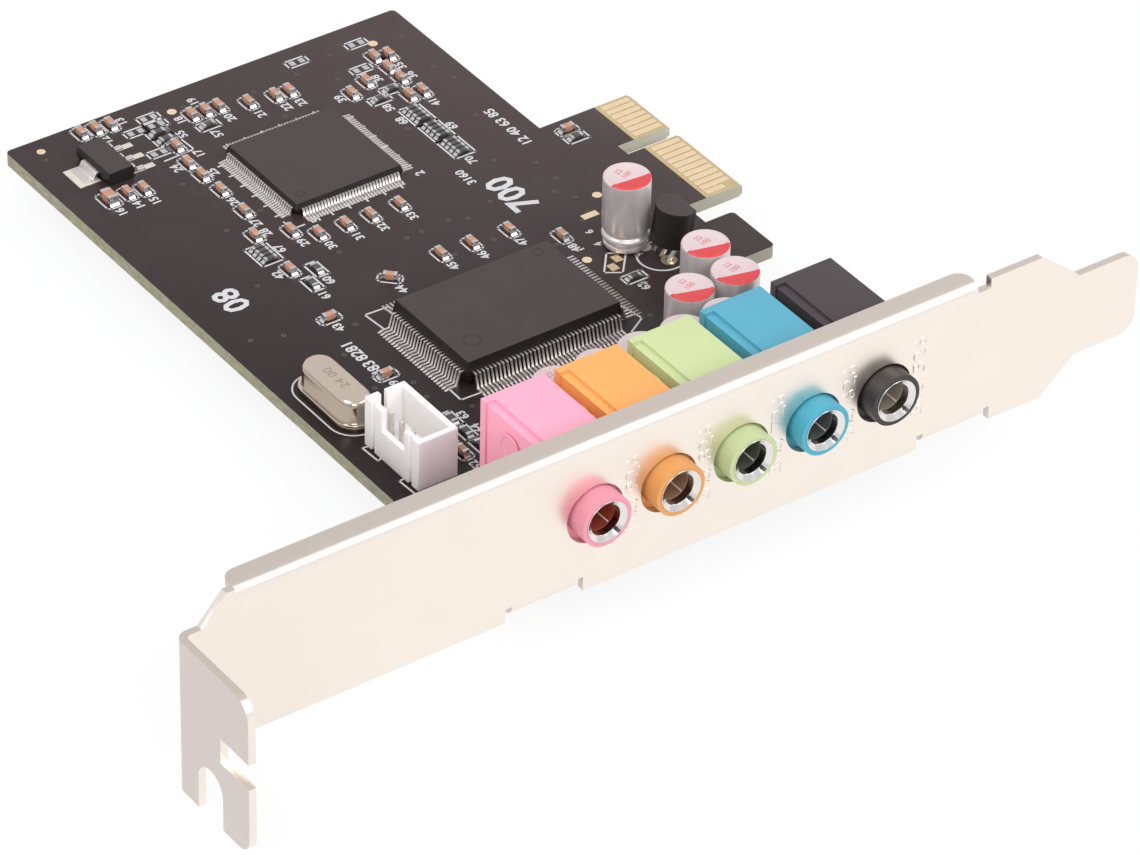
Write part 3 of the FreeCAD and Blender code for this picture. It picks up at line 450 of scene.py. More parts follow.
def figures(bm, text, size, thick, matrix, weight=0.0, soft=0.0):
    """Plain figures, centred on their own middle and then moved by a matrix."""
    curve = bpy.data.curves.new("figures", "FONT")
    curve.body, curve.size, curve.extrude = text, size, thick / 2
    curve.align_x, curve.align_y = "CENTER", "CENTER"
    curve.resolution_u, curve.offset, curve.bevel_depth = 2, weight, soft
    holder = bpy.data.objects.new("figures", curve)
    bpy.context.scene.collection.objects.link(holder)
    mesh = bpy.data.meshes.new_from_object(holder)
    bpy.data.objects.remove(holder)
    bpy.data.curves.remove(curve)
    mesh.transform(matrix)
    bm.from_mesh(mesh)
    bpy.data.meshes.remove(mesh)


def standing(spot, height, turn):
    """Brings what is built upright about the origin to a spot, turned about the upright."""
    return Matrix.Translation((spot[0], spot[1], height)) @ Matrix.Rotation(turn, 4, "Z")


def strip(bm, outline, width, matrix):
    """A flat outline of (run, height) points given a width, then moved by a matrix."""
    skin(bm, [[matrix @ Vector((u, half, z)) for u, z in outline]
              for half in (-width / 2, width / 2)])


print("mesh helpers ready")

# %% [markdown]
# The bracket is pressed steel under a thin nickel coat. Nickel is warmer than chrome and
# the pressed sheet under it is never quite flat, so its colour drifts a little and its
# shine is softly uneven. Fine rolling lines run along the strip and show only as a slight
# change in roughness. The folded flange mirrors the darker room behind the card, and that
# shade is painted into its colour: every upward face is painted greyer, a little lighter away
# from the screw ear, where the mirrored room is darker still. Faces that point along the
# strip, such as the ear, are painted a darker warm grey as painted shade. The edges are
# rounded by a tenth of a millimetre. Beside each jack a plain number is pressed out of the
# sheet, reading upwards.

# %% Bracket
JACK_FIRST_X = 49.72
JACK_PITCH = 9.165
JACK_AXIS_Z = 9.59
RAISED_SIZE = 2.4
RAISED_STRETCH = 1.28
RAISED_BETWEEN = 0.51
ROLLED = (0.02, 1.0, 1.0)


def nickel(name, light, dark, shine, grain_mm):
    finish = Finish(name)
    cloud = finish.grain(grain_mm, 3.0)
    lines = finish.grain(0.5, 4.0, stretch=ROLLED)
    return finish.surface(
        base_color=finish.colours(cloud, dark, light), metallic=1.0,
        roughness=finish.spread(cloud * 0.6 + lines * 0.4, shine - 0.07, shine + 0.07),
        normal=finish.bump(lines, 0.01, 0.12))


def bracket_finish():
    finish = Finish("bracket_nickel")
    cloud = finish.grain(6.0, 3.0)
    lines = finish.grain(0.5, 4.0, stretch=ROLLED)
    face = finish.colours(cloud, (0.93, 0.84, 0.755), (0.97, 0.89, 0.81))
    # Painted shade: upward faces take a greyer colour for the darker room they mirror, painted
    # lighter away from the ear.
    along = finish.ramp(finish.part(finish.place(), "X"), -0.05, 0.05)
    flange_painted_shade = finish.colours(along, (0.77, 0.67, 0.575), (0.83, 0.725, 0.63))
    upward = finish.facing("Z") > 0.9
    # Painted shade: faces pointing along the strip, such as the screw ear, take a darker warm grey.
    outward = finish.facing("X").size() > 0.9
    sheet = finish.colours(outward, face, (0.68, 0.605, 0.575))
    return finish.surface(
        base_color=finish.colours(upward, sheet, flange_painted_shade), metallic=1.0,
        roughness=finish.spread(cloud * 0.6 + lines * 0.4, 0.27, 0.41),
        normal=finish.bump(lines, 0.01, 0.12))


bracket_nickel = bracket_finish()
softened("bracket", "bracket_sheet", bracket_nickel, 0.12)
raised = bmesh.new()
for i in range(5):
    x = JACK_FIRST_X + (i + RAISED_BETWEEN) * JACK_PITCH
    stand = (Matrix.Translation((x, 0.0, JACK_AXIS_Z)) @ Matrix.Rotation(math.pi / 2, 4, "X")
             @ Matrix.Rotation(math.pi / 2, 4, "Z") @ Matrix.Diagonal((RAISED_STRETCH, 1, 1, 1)))
    figures(raised, "%d03 %d26" % (i + 1, 9 - i), RAISED_SIZE, 0.06, stand, -0.02, 0.05)
dress("raised_numbers", raised, bracket_nickel)
print("bracket", [round(v, 1) for v in drawing_box("bracket")[1]])

# %% [markdown]
# The board is glass cloth in resin, covered by a charcoal solder mask. Under the mask,
# copper areas are a touch lighter than the laminate between them. The face is also painted
# lighter away from the bracket and towards the connector: a painted reflection of the room
# that the face would mirror more of there. The cut edge shows the resin, paler on one side
# and olive with dark specks on the other, and the pale side is painted darker towards the
# bracket as painted shade. The mask is left off round the edge contacts. One material does
# all of this: the direction a face points tells the edge from the faces, and two distances
# tell where the mask ends. The contacts are thin gold that has been handled, so a fifth of
# what they do with light is matt instead of mirrored.

# %% Board
MASK_END = 97.7
MASK_SIDE = 45.0


def mask_finish():
    finish = Finish("board_mask")
    place = finish.place()
    weave = finish.cells(0.55, "CHEBYCHEV", 0.25)
    cloud = finish.grain(14.0, 4.0)
    patch = finish.cells(9.0, "MANHATTAN", 0.8)
    far = finish.ramp(finish.part(place, "Y"), -0.042, 0.042)
    away = finish.ramp(finish.part(place, "X"), -0.020, 0.040)
    # Painted reflection: far and away lighten the mask as the mirrored room would; the copper
    # patches are real.
    copper_and_painted_sheen = far * 0.47 + away * 0.42 + (patch < 0.45) * cloud * 0.08
    mask_colour = finish.colours(copper_and_painted_sheen, (0.006, 0.0035, 0.0035), (0.075, 0.051, 0.048))
    edge = finish.facing("Z").size() < 0.6
    specks = finish.grain(0.35, 3.0, stretch=(0.3, 0.3, 1.0))
    olive = finish.colours(specks, (0.13, 0.125, 0.075), (0.42, 0.40, 0.27))
    pale = finish.colours(specks, (0.57, 0.54, 0.43), (0.76, 0.73, 0.62))
    # Painted shade: the pale cut edge is painted darker towards the bracket.
    painted_edge_shade = finish.colours(far, (0.15, 0.14, 0.09), pale)
    cut = finish.colours(finish.facing("X") < -0.5, painted_edge_shade, olive)
    yellow = finish.colours(specks, (0.44, 0.34, 0.17), (0.53, 0.43, 0.24))
    bare = (finish.part(place, "X") > (MASK_END * MM + CORNER.x)) * (
        finish.part(place, "Y") > (MASK_SIDE * MM + CORNER.y))
    raw = finish.node("ShaderNodeMath", {"operation": "MAXIMUM"}, {0: edge, 1: bare})
    return finish.surface(
        base_color=finish.colours(raw, mask_colour, finish.colours(edge, yellow, cut)),
        roughness=finish.spread(raw, 0.33, 0.62) + finish.spread(cloud, -0.05, 0.05),
        specular_ior_level=0.20, normal=finish.bump(weave, 0.012, 0.25))


board_mask = mask_finish()
softened("circuit_board", "board_panel", board_mask, 0.06, 1)

gold = Finish("contact_gold")
worn = gold.grain(1.2, 4.0)
contact_gold = gold.surface(base_color=gold.colours(worn, (0.98, 0.71, 0.42), (1.0, 0.81, 0.555)),
                            metallic=0.80, roughness=gold.spread(worn, 0.22, 0.42),
                            normal=gold.bump(gold.grain(0.3, 2.0, (0.1, 1.0, 1.0)), 0.008, 0.2))
softened("edge_contacts", "edge_contact_pads", contact_gold, 0.006, 1)
print("contacts dressed:", len(solids("edge_contacts")))

# %% [markdown]
# Each jack is one satin moulding in its own colour. Its body, barrel and the shallow
# rebate along one top edge come from the solid, with the edges rounded as a mould leaves
# them. The plastics share one recipe: a slight drift of colour and a fine grain that
# breaks up the shine. Light and shade are painted into the colour: the body behind the
# bracket is painted paler, as painted light from above, and the barrel in front is painted
# deeper, as painted shade. Where the barrel begins, the paler colour gives way to the deeper
# one. Inside each metal sleeve a thin liner is painted with the tone that the bore shows in
# its shade, and a contact blade lies along it as a pale line. A dark block at the mouth of
# each sleeve is painted shade that stands for the slot cut in it. A round boss stands on the
# left wall of each body.

# %% Jack mouldings
# Each pair: the body colour, painted paler as painted light, then the barrel colour, painted deeper
# as painted shade.
JACK_COLOURS = {
    "pink": ((0.95, 0.36, 0.48), (0.72, 0.255, 0.325)),
    "orange": ((0.86, 0.375, 0.10), (0.65, 0.28, 0.070)),
    "green": ((0.53, 0.61, 0.30), (0.455, 0.54, 0.27)),
    "blue": ((0.085, 0.35, 0.465), (0.045, 0.34, 0.46)),
    "black": ((0.052, 0.039, 0.041), (0.026, 0.020, 0.0195))}
BARREL_FROM = 1.0
MOUTH_Y = -1.8
BLADE_TURN = 51.0
BLADE_HALF = 0.08
NOTCH_HALF = 0.20
BOSS_FROM_BACK, BOSS_BELOW_TOP = 5.3, 3.15
BOSS = ((1.62, -0.05), (1.62, 0.06), (1.55, 0.13), (1.40, 0.13), (1.32, 0.06), (1.0, 0.05))
LINER = ((1.795, 1.0), (1.765, 1.02), (1.765, 4.9), (1.795, 4.95))
# Painted shade: each liner takes the tone that the shaded bore shows.
BORE_PAINTED_SHADE = {"pink": (0.36, 0.058, 0.032), "orange": (0.36, 0.20, 0.12),
          "green": (0.10, 0.115, 0.085), "blue": (0.11, 0.125, 0.125), "black": (0.33, 0.28, 0.22)}


def speckled(name, light, dark, shine, grain_mm=0.5, metallic=0.0):
    finish = Finish(name)
    cloud = finish.grain(grain_mm, 3.0)
    return finish.surface(base_color=finish.colours(cloud, dark, light), metallic=metallic,
                          roughness=finish.spread(cloud, shine - 0.08, shine + 0.08),
                          normal=finish.bump(cloud, 0.01, 0.2))


def moulding(name, body, barrel, shine=0.36):
    finish = Finish(name)
    drift = finish.grain(5.0, 3.0)
    fine = finish.grain(0.12, 2.0)
    # Painted light and shade: the paler body colour behind the bracket, the deeper barrel colour in
    # front.
    front = finish.part(finish.place(), "Y") < (CORNER.y + BARREL_FROM * MM)
    painted_light_or_shade = finish.colours(front, body, barrel)
    deeper = finish.colours(front, scaled(body, 0.92), scaled(barrel, 0.92))
    return finish.surface(base_color=finish.colours(drift, deeper, painted_light_or_shade),
                          roughness=finish.spread(drift * 0.5 + fine * 0.5, shine, shine + 0.14),
                          normal=finish.bump(fine, 0.006, 0.25))


sleeve_nickel = nickel("sleeve_nickel", (0.86, 0.84, 0.81), (0.74, 0.72, 0.69), 0.16, 2.0)
spring_bronze = nickel("spring_bronze", (0.78, 0.60, 0.36), (0.66, 0.48, 0.27), 0.3, 2.0)
notch_shade = speckled("notch_shade", (0.10, 0.09, 0.08), (0.05, 0.045, 0.04), 0.5)
notch_painted_shade, blades = bmesh.new(), bmesh.new()
for colour, (body, barrel) in JACK_COLOURS.items():
    plastic = moulding(colour + "_plastic", body, barrel)
    softened(colour + "_jack_housing", colour + "_jack", plastic, 0.16, 3)
    softened(colour + "_jack_sleeve", colour + "_sleeve", sleeve_nickel, 0.06)
    softened(colour + "_jack_contacts", colour + "_springs", spring_bronze,
             0.03, 1)
    low, high = drawing_box(colour + "_jack_housing")
    wall = Matrix.Translation((low.x, high.y - BOSS_FROM_BACK, high.z - BOSS_BELOW_TOP))
    boss = bmesh.new()
    skin(boss, [circle(r, z, 40) for r, z in BOSS])
    boss.transform(wall @ Matrix.Rotation(-math.pi / 2, 4, "Y"))
    dress(colour + "_side_boss", boss, plastic)
    into = Matrix.Translation(((low.x + high.x) / 2, MOUTH_Y, JACK_AXIS_Z)) @ Matrix.Rotation(
        -math.pi / 2, 4, "X")
    inside = bmesh.new()
    skin(inside, [circle(r, z, 32) for r, z in LINER], False)
    inside.transform(into)
    blade = into @ Matrix.Rotation(math.radians(BLADE_TURN), 4, "Z")
    soft_block(blades, (1.66, -BLADE_HALF, 1.1), (1.78, BLADE_HALF, 4.8), 0.02, blade)
    lining = speckled(colour + "_liner", BORE_PAINTED_SHADE[colour], scaled(BORE_PAINTED_SHADE[colour], 0.8), 0.4)
    dress(colour + "_liner", inside, lining)
    # Painted shade: a dark block at each sleeve's mouth stands for the shadowed slot cut in it.
    soft_block(notch_painted_shade, (1.80, -NOTCH_HALF, -0.47), (2.36, NOTCH_HALF, 0.35), 0.03, blade)
dress("sleeve_notch_painted_shade", notch_painted_shade, notch_shade)
blade_tin = speckled("blade_tin", (0.72, 0.62, 0.53), (0.58, 0.49, 0.41), 0.4)
dress("bore_blades", blades, blade_tin)
print("jacks:", ", ".join(JACK_COLOURS))

# %% [markdown]
# Both chips are black epoxy with a matt, faintly pitted skin, and so are the regulator and
# the transistor. Their tops mirror the pale room and look grey, and their sides are given
# painted shade: every face that does not point up takes a third of the colour, so the sides
# stay nearly black. The round marks that the mould leaves are flat rings on the tops, a
# hundredth of a millimetre high, glossier than the skin and painted darker as painted shade
# of the shallow dimples that they stand for.

# %% Chip bodies
def epoxy(name, colour=(0.040, 0.0275, 0.0255), shine=0.46):
    finish = Finish(name)
    pits = finish.grain(0.08, 2.0)
    cloud = finish.grain(4.0, 3.0)
    level = finish.colours(cloud, colour, scaled(colour, 1.35))
    return finish.surface(
        # Painted shade: faces that do not point up are darkened to 0.35 of the colour.
        base_color=finish.colours(finish.facing("Z") < 0.7, level, scaled(colour, 0.35)),
        specular_ior_level=0.40,
        roughness=finish.spread(cloud * 0.6 + pits * 0.4, shine - 0.06, shine + 0.10),
        normal=finish.bump(pits, 0.006, 0.35))


package_epoxy = epoxy("package_epoxy")
for node, name in (("audio_controller_body", "large_chip"), ("bridge_chip_body", "thin_chip"),
                   ("regulator_body", "regulator_block"), ("transistor_body", "transistor_block")):
    softened(node, name, package_epoxy, 0.07)
mould_marks = bmesh.new()
for node, spot, radius, band, rise in (("audio_controller_body", (73.99, 44.51), 0.62, 0.14, 0.010),
                                       ("audio_controller_body", (59.01, 35.25), 1.05, 0.14, 0.010),
                                       ("bridge_chip_body", (60.1, 69.6), 0.55, 0.12, 0.008)):
    top = drawing_box(node)[1].z
    disc(mould_marks, radius, top - 0.01, top + rise, spot, 32, radius - band)
# Painted shade: the flat rings are glossier and painted darker for the shaded rim of a dimple.
mould_mark_painted_shade = epoxy("mould_mark_painted_shade", (0.014, 0.011, 0.010), 0.30)
dress("mould_marks", mould_marks, mould_mark_painted_shade)
print("chip bodies dressed")

# %% [markdown]
# A lead is a strip bent twice: level out of the body, down, and level again on its pad. One
# outline is drawn for each chip, with the bends rounded, and a copy stands wherever the
# solid model has a lead. A low wedge of solder runs up the toe and the heel of every foot,
# and a thin tinned pad reaches past it on the board. Tin-plated lead frame is a satin metal
# without a colour of its own, so the warm tone that it would mirror is painted into its
# colour as painted reflection.

# %% Chip leads
LEAD_IN_BODY = 0.25
SOLDER_WIDER = 1.15
PAD_WIDER = 1.05


def bright_tin():
    finish = Finish("lead_tin")
    cloud = finish.grain(0.9, 3.0)
    return finish.surface(
        # Painted reflection: a warm base colour stands for the warm tone the tin mirrors.
        base_color=finish.colours(cloud, (0.70, 0.645, 0.605), (0.86, 0.80, 0.755)),
        metallic=1.0, roughness=finish.spread(cloud, 0.30, 0.48),
        normal=finish.bump(cloud, 0.02, 0.2))


lead_tin = bright_tin()


def bent_lead(top, reach, shoulder, run, thick):
    """The side view of a lead: points of (run out from the body, height over the board)."""
    heel = shoulder + run
    ease = thick * 0.6
    outer = [(-LEAD_IN_BODY, top), (shoulder - ease, top), (shoulder, top - ease * 0.35),
             (heel - ease * 0.3, thick + ease * 0.5), (heel + ease * 0.6, thick), (reach, thick)]
    inner = [(reach, 0.0), (heel - thick * 0.6, 0.0), (heel - thick * 1.1, ease * 0.4),
             (shoulder - thick * 0.9, top - thick - ease * 0.2),
             (shoulder - thick * 1.4, top - thick), (-LEAD_IN_BODY, top - thick)]
    return outer + inner


def lead_set(node, body, name, width, thick, shoulder, run, near_end, far_end):
    """Stands a bent lead, its pad and its solder wherever the solid model has a lead."""
    low, high = drawing_box(body)
    middle = (low + high) / 2
    strips, fillets = bmesh.new(), bmesh.new()
    found = solids(node)
    for lead in found:
        out = Vector((lead["middle"].x - middle.x, lead["middle"].y - middle.y))
        beyond = Vector((abs(out.x) - (high.x - low.x) / 2, abs(out.y) - (high.y - low.y) / 2))
        axis = 0 if beyond.x > beyond.y else 1
        sign = math.copysign(1.0, out[axis])
        heading = Vector((sign, 0, 0)) if axis == 0 else Vector((0, sign, 0))
        reach = (lead["high"] - lead["low"])[axis]
        start = lead["middle"] - heading * (reach / 2)
        stand = standing(start, BOARD_TOP, math.atan2(heading.y, heading.x))
        top = lead["high"].z - BOARD_TOP
        strip(strips, bent_lead(top, reach, shoulder, run, thick), width, stand)
        toe = [(reach - 0.12, 0.0), (reach - 0.05, thick * 0.85), (reach + 0.03, thick * 0.6),
               (reach + 0.20, 0.02), (reach + 0.24, 0.0)]
        strip(fillets, toe, width * SOLDER_WIDER, stand)
        heel_at = shoulder + run - thick * 0.6
        heel = [(heel_at + 0.10, 0.0), (heel_at - 0.04, thick * 0.9), (heel_at - 0.16, 0.03),
                (heel_at - 0.20, 0.0)]
        strip(fillets, heel, width * SOLDER_WIDER, stand)
        pad_end = far_end if heading.x + heading.y > 0 else near_end
        strip(fillets, [(heel_at - 0.3, 0.0), (heel_at - 0.3, 0.03), (pad_end - 0.05, 0.04),
                        (pad_end, 0.0)], width * PAD_WIDER, stand)
    dress(name, strips, lead_tin, (node,), smooth=50)
    dress(name + "_solder", fillets, lead_tin, smooth=60)
    return len(found)


large_count = lead_set("audio_controller_leads", "audio_controller_body", "large_chip_leads",
                       width=0.24, thick=0.17, shoulder=0.55, run=0.42, near_end=2.35, far_end=3.10)
thin_count = lead_set("bridge_chip_leads", "bridge_chip_body", "thin_chip_leads",
                      width=0.27, thick=0.13, shoulder=0.22, run=0.24, near_end=1.45, far_end=1.85)
for node, name, edge in (("regulator_leads", "regulator_strips", 0.05),
                         ("transistor_leads", "transistor_wires", 0.05),
                         ("capacitor_leads", "capacitor_wires", 0.05),
                         ("crystal_leads", "crystal_wires", 0.05),
                         ("header_pins", "header_posts", 0.06)):
    softened(node, name, lead_tin, edge)
print("leads on the large and the thin chip:", large_count, thin_count)

# %% [markdown]
# A chip capacitor is a block of tan ceramic between two bright end caps, and solder
# climbs each cap. A chip resistor is flatter, white underneath with a dark film on top.
# They are dressed by group: for every small solid in the model, a body and two caps with
# rounded edges are built at its place and turn.

# %% Small parts
chip_ceramic = speckled("chip_ceramic", (0.56, 0.28, 0.175), (0.42, 0.19, 0.11), 0.42)
resistor_ceramic = speckled("resistor_ceramic", (0.085, 0.078, 0.076), (0.045, 0.040, 0.040), 0.35)
solder_tin = speckled("solder_tin", (0.80, 0.79, 0.77), (0.62, 0.61, 0.59), 0.26, 0.8, 1.0)

GROUPS = {
    "regulator_capacitors": chip_ceramic, "bridge_capacitors": chip_ceramic,
    "audio_capacitors": chip_ceramic, "connector_capacitor": chip_ceramic,
    "bridge_resistors": resistor_ceramic, "audio_resistors": resistor_ceramic,
    "connector_resistor": resistor_ceramic, "resistor_arrays": resistor_ceramic}
CAP_SHARE = 0.24
STAND_OFF = 0.04
SOLDER_SHARE = 0.92
small_parts = {node: solids(node) for node in GROUPS}
caps, joints = bmesh.new(), bmesh.new()
for node, ceramic in GROUPS.items():
    bodies = bmesh.new()
    for part in small_parts[node]:
        length, width, height = part["size"]
        stand = standing(part["middle"], BOARD_TOP, part["turn"])
        half, cap = length / 2, length * CAP_SHARE
        soft_block(bodies, (-half + cap * 0.5, -width / 2 + 0.02, STAND_OFF),
                   (half - cap * 0.5, width / 2 - 0.02, height - 0.03), 0.05, stand)
        for side in (-1, 1):
            ends = sorted((side * half, side * (half - cap)))
            soft_block(caps, (ends[0], -width / 2, STAND_OFF), (ends[1], width / 2, height), 0.09,
                       stand)
            wedge = [(0.0, 0.0), (0.0, height * 0.62), (0.05, height * 0.36),
                     (0.16, height * 0.12), (0.30, 0.03), (0.32, 0.0)]
            flip = stand @ Matrix.Translation((side * (half - 0.02), 0, 0)) @ Matrix.Rotation(
                0 if side > 0 else math.pi, 4, "Z")
            strip(joints, wedge, width * SOLDER_SHARE, flip)
    dress(node + "_bodies", bodies, ceramic, (node,))
dress("small_part_caps", caps, solder_tin)
dress("small_part_solder", joints, solder_tin, smooth=50)
print("small parts dressed:", {node: len(parts) for node, parts in small_parts.items()})

# %% [markdown]
# A radial capacitor is a drawn aluminium can in a thin sleeve of clear film, rolled in
# over its foot. Its side is turned here from one profile: a narrow foot ring, a bulge, a
# groove that holds the rubber seal, and the rounded rim of the lid. The film takes the edge
# off the metal's shine. The print on the lid is a red half-moon towards the bracket on a
# pale lacquer: in the material it is simply the part of the lid beyond a straight line,
# taken from the can's own coordinates. Each can stands turned by a few degrees of its own,
# which is set for the four whose lids are in plain view and left to chance for the rest.

# %% Radial capacitors
CAPACITORS = ["capacitor_%d" % (i + 1) for i in range(9)]
CAN_SEGMENTS = 48
LID_OVER = 4.0
MOON_FROM = 0.80
MOON_TOWARDS = (-0.241, -0.970)
LID_FIGURES = {"22": 1.15, "100": 0.15}
FIGURE_SIZE = 0.95
FIGURE_TURN = 14
LID_TURNS = {6: -3.0, 7: 0.0, 8: 0.0, 9: 9.0}


def can_finish():
    finish = Finish("can_aluminium")
    place = finish.place()
    cloud = finish.grain(1.5, 3.0)
    lid = (finish.facing("Z") > 0.40) * (finish.part(place, "Z") > LID_OVER * MM)
    beyond = finish.part(place, "X") * MOON_TOWARDS[0] + finish.part(place, "Y") * MOON_TOWARDS[1]
    moon = beyond > (MOON_FROM * MM)
    print_colour = finish.colours(moon, (0.64, 0.515, 0.515), (0.66, 0.047, 0.050))
    side_colour = finish.colours(cloud, (0.64, 0.59, 0.575), (0.72, 0.665, 0.65))
    return finish.surface(
        base_color=finish.colours(lid, side_colour, print_colour),
        metallic=finish.spread(lid, 0.50, 0.05),
        roughness=finish.spread(lid, 0.34, 0.45) + finish.spread(cloud, -0.05, 0.05),
        normal=finish.bump(finish.grain(0.4, 2.0, (1.0, 1.0, 0.08)), 0.01, 0.15))


can_aluminium = can_finish()


def can_profile(radius, height):
    """Radius and height along the can's side, from the middle of its foot to its lid."""
    roll, bulge, groove, groove_height, rim = 0.30, 1.55, 0.32, 0.9, 0.32
    steps = 8
    foot = radius * 0.93
    profile = [(radius * 0.55, 0.0), (foot - roll, 0.0)]
    profile += [(foot - roll + roll * math.sin(a), roll - roll * math.cos(a))
                for a in (math.pi / 2 * i / 4 for i in range(1, 5))]
    profile += [(foot, 0.60), (foot - 0.20, 0.72), (foot - 0.20, 0.84), (foot, 0.97),
                (radius - 0.04, 1.14), (radius, 1.30), (radius, bulge)]
    profile += [(radius - groove * 0.5 * (1 - math.cos(2 * math.pi * i / steps)),
                 bulge + groove_height * i / steps) for i in range(1, steps + 1)]
    profile += [(radius, height - rim)]
    profile += [(radius - rim + rim * math.cos(a), height - rim + rim * math.sin(a))
                for a in (math.pi / 2 * i / 5 for i in range(1, 6))]
    profile += [(radius * 0.84, height), (radius * 0.80, height - 0.07),
                (radius * 0.30, height - 0.08)]
    return profile


can_mesh = None
lid_print = bmesh.new()
for i, node in enumerate(CAPACITORS, 1):
    low, high = drawing_box(node)
    radius, height = (high.x - low.x) / 2, high.z - low.z
    if can_mesh is None:
        bm = bmesh.new()
        skin(bm, [circle(r, z, CAN_SEGMENTS) for r, z in can_profile(radius, height)])
        bm.transform(Matrix.Scale(MM, 4))
        can_mesh = mesh_from(bm, "can_form", drawing=False)
    spot = Vector(((low.x + high.x) / 2, (low.y + high.y) / 2, low.z))
    turn = math.radians(LID_TURNS.get(i, random.uniform(-9, 9)))
    made = add_piece("can_%d" % i, can_mesh.copy(), can_aluminium,
                     (node,), smooth=50, at=TO_SCENE @ spot)
    made.rotation_euler.z = turn
    stand = standing(spot, high.z - 0.075, turn + math.radians(FIGURE_TURN))
    for text, along in LID_FIGURES.items():
        place = stand @ Matrix.Translation((0.1, along, 0))
        figures(lid_print, text, FIGURE_SIZE, 0.03, place, 0.01)
lid_ink = speckled("lid_ink", (0.66, 0.25, 0.27), (0.58, 0.20, 0.22), 0.5)
dress("can_numbers", lid_print, lid_ink)
print("capacitors:", i, "radius", round(radius, 2), "height", round(height, 2))

# %% [markdown]
# The crystal sits in a low drawn can with round ends and a welded rim. Its outline is a
# rectangle with half-circle ends, and the can is a stack of such outlines, each a little
# smaller near the top, so the shoulder comes out smooth. Its sides are painted a darker
# colour than its top as painted shade.

# %% Crystal
def stadium_ring(centre, length, width, height, count=14):
    radius = width / 2
    run = length / 2 - radius
    points = []
    for end, first in ((1, 0.0), (-1, math.pi)):
        for i in range(count + 1):
            angle = first + math.pi * i / count
            points.append(Vector((centre.x + radius * math.cos(angle),
                                  centre.y + end * run + radius * math.sin(angle), height)))
    return points


base_low, base_high = drawing_box("crystal_base")
can_high = drawing_box("crystal_can")[1]
crystal_middle = (base_low + base_high) / 2
rim_length, rim_width = base_high.y - base_low.y, base_high.x - base_low.x
RIM = 0.42
RIM_HEIGHT = 0.42
SHOULDER = 0.75
rim_top = base_high.z + RIM_HEIGHT
rings = [(0.06, base_low.z), (0.0, base_low.z + 0.06), (0.0, rim_top - 0.08), (0.07, rim_top),
         (RIM - 0.12, rim_top + 0.01), (RIM, rim_top + 0.16)]
rings += [(RIM, can_high.z - SHOULDER)]
rings += [(RIM + SHOULDER * (1 - math.cos(a)), can_high.z - SHOULDER + SHOULDER * math.sin(a))
          for a in (math.pi / 2 * i / 6 for i in range(1, 7))]
bm = bmesh.new()
skin(bm, [stadium_ring(crystal_middle, rim_length - 2 * inset, rim_width - 2 * inset, z)
          for inset, z in rings])
crystal = Finish("crystal_nickel")
cloud = crystal.grain(2.5, 3.0)
top_colour = crystal.colours(cloud, (0.70, 0.575, 0.46), (0.80, 0.665, 0.54))
crystal_nickel = crystal.surface(
    # Painted shade: faces that do not point up take a darker colour.
    base_color=crystal.colours(crystal.facing("Z") < 0.6, top_colour, (0.47, 0.385, 0.31)),
    metallic=1.0, roughness=crystal.spread(cloud, 0.10, 0.22),
    normal=crystal.bump(crystal.grain(0.5, 3.0), 0.008, 0.1))
dress("crystal_case", bm, crystal_nickel, ("crystal_can", "crystal_base"),
      smooth=40)
stamp = bmesh.new()
stand = standing(crystal_middle, can_high.z + 0.002, math.pi / 2)
figures(stamp, "24 00", 1.5, 0.02, stand @ Matrix.Diagonal((1.2, 1, 1, 1)))
stamp_shade = speckled("stamp_shade", (0.30, 0.25, 0.20), (0.22, 0.18, 0.14), 0.5)
dress("crystal_stamp", stamp, stamp_shade)
print("crystal", round(rim_length - 2 * RIM, 1), "x", round(rim_width - 2 * RIM, 1), "mm")

# %% [markdown]
# The header is milky nylon. A little light goes into it and comes back out, which a small
# subsurface weight gives, so its thin walls look soft and not like paper. The wall on the
# left stands away from the light, and that shade is painted in: it takes a warmer, greyer
# colour.

# %% Cable header
def nylon():
    finish = Finish("header_nylon")
    cloud = finish.grain(3.0, 2.0)
    milky = finish.colours(cloud, (0.90, 0.87, 0.86), (0.96, 0.93, 0.92))
    left_wall_painted_shade = finish.colours(cloud, (0.71, 0.67, 0.64), (0.76, 0.72, 0.69))
    return finish.surface(
        # Painted shade: faces pointing to the left take the warmer, greyer colour.
        base_color=finish.colours(finish.facing("X") < -0.5, milky, left_wall_painted_shade),
        roughness=finish.spread(cloud, 0.34, 0.46), subsurface_weight=0.40,
        subsurface_radius=(0.0012, 0.0012, 0.0012), subsurface_scale=1.0,
        normal=finish.bump(finish.grain(0.2), 0.005, 0.2))


header_nylon = nylon()
softened("header_housing", "header_shell", header_nylon, 0.14, 3)
print("header", [round(v, 1) for v in drawing_box("header_housing")[0]])

# %% [markdown]
# Pan-head screws hold the board to the bracket's tabs, out of sight behind the jacks. The
# solids are already right, so they only get a finish, softer edges and the cross that a
# screwdriver fits, which is two dark bars set into the head, almost level with it: their dark
# colour is painted shade that stands for the recess.

# %% Screws
screw_steel = nickel("screw_steel", (0.62, 0.61, 0.60), (0.50, 0.49, 0.48), 0.3, 1.5)
softened("bracket_screws", "board_screws", screw_steel, 0.12)
cross_shade = speckled("cross_shade", (0.06, 0.06, 0.06), (0.035, 0.035, 0.035), 0.5)
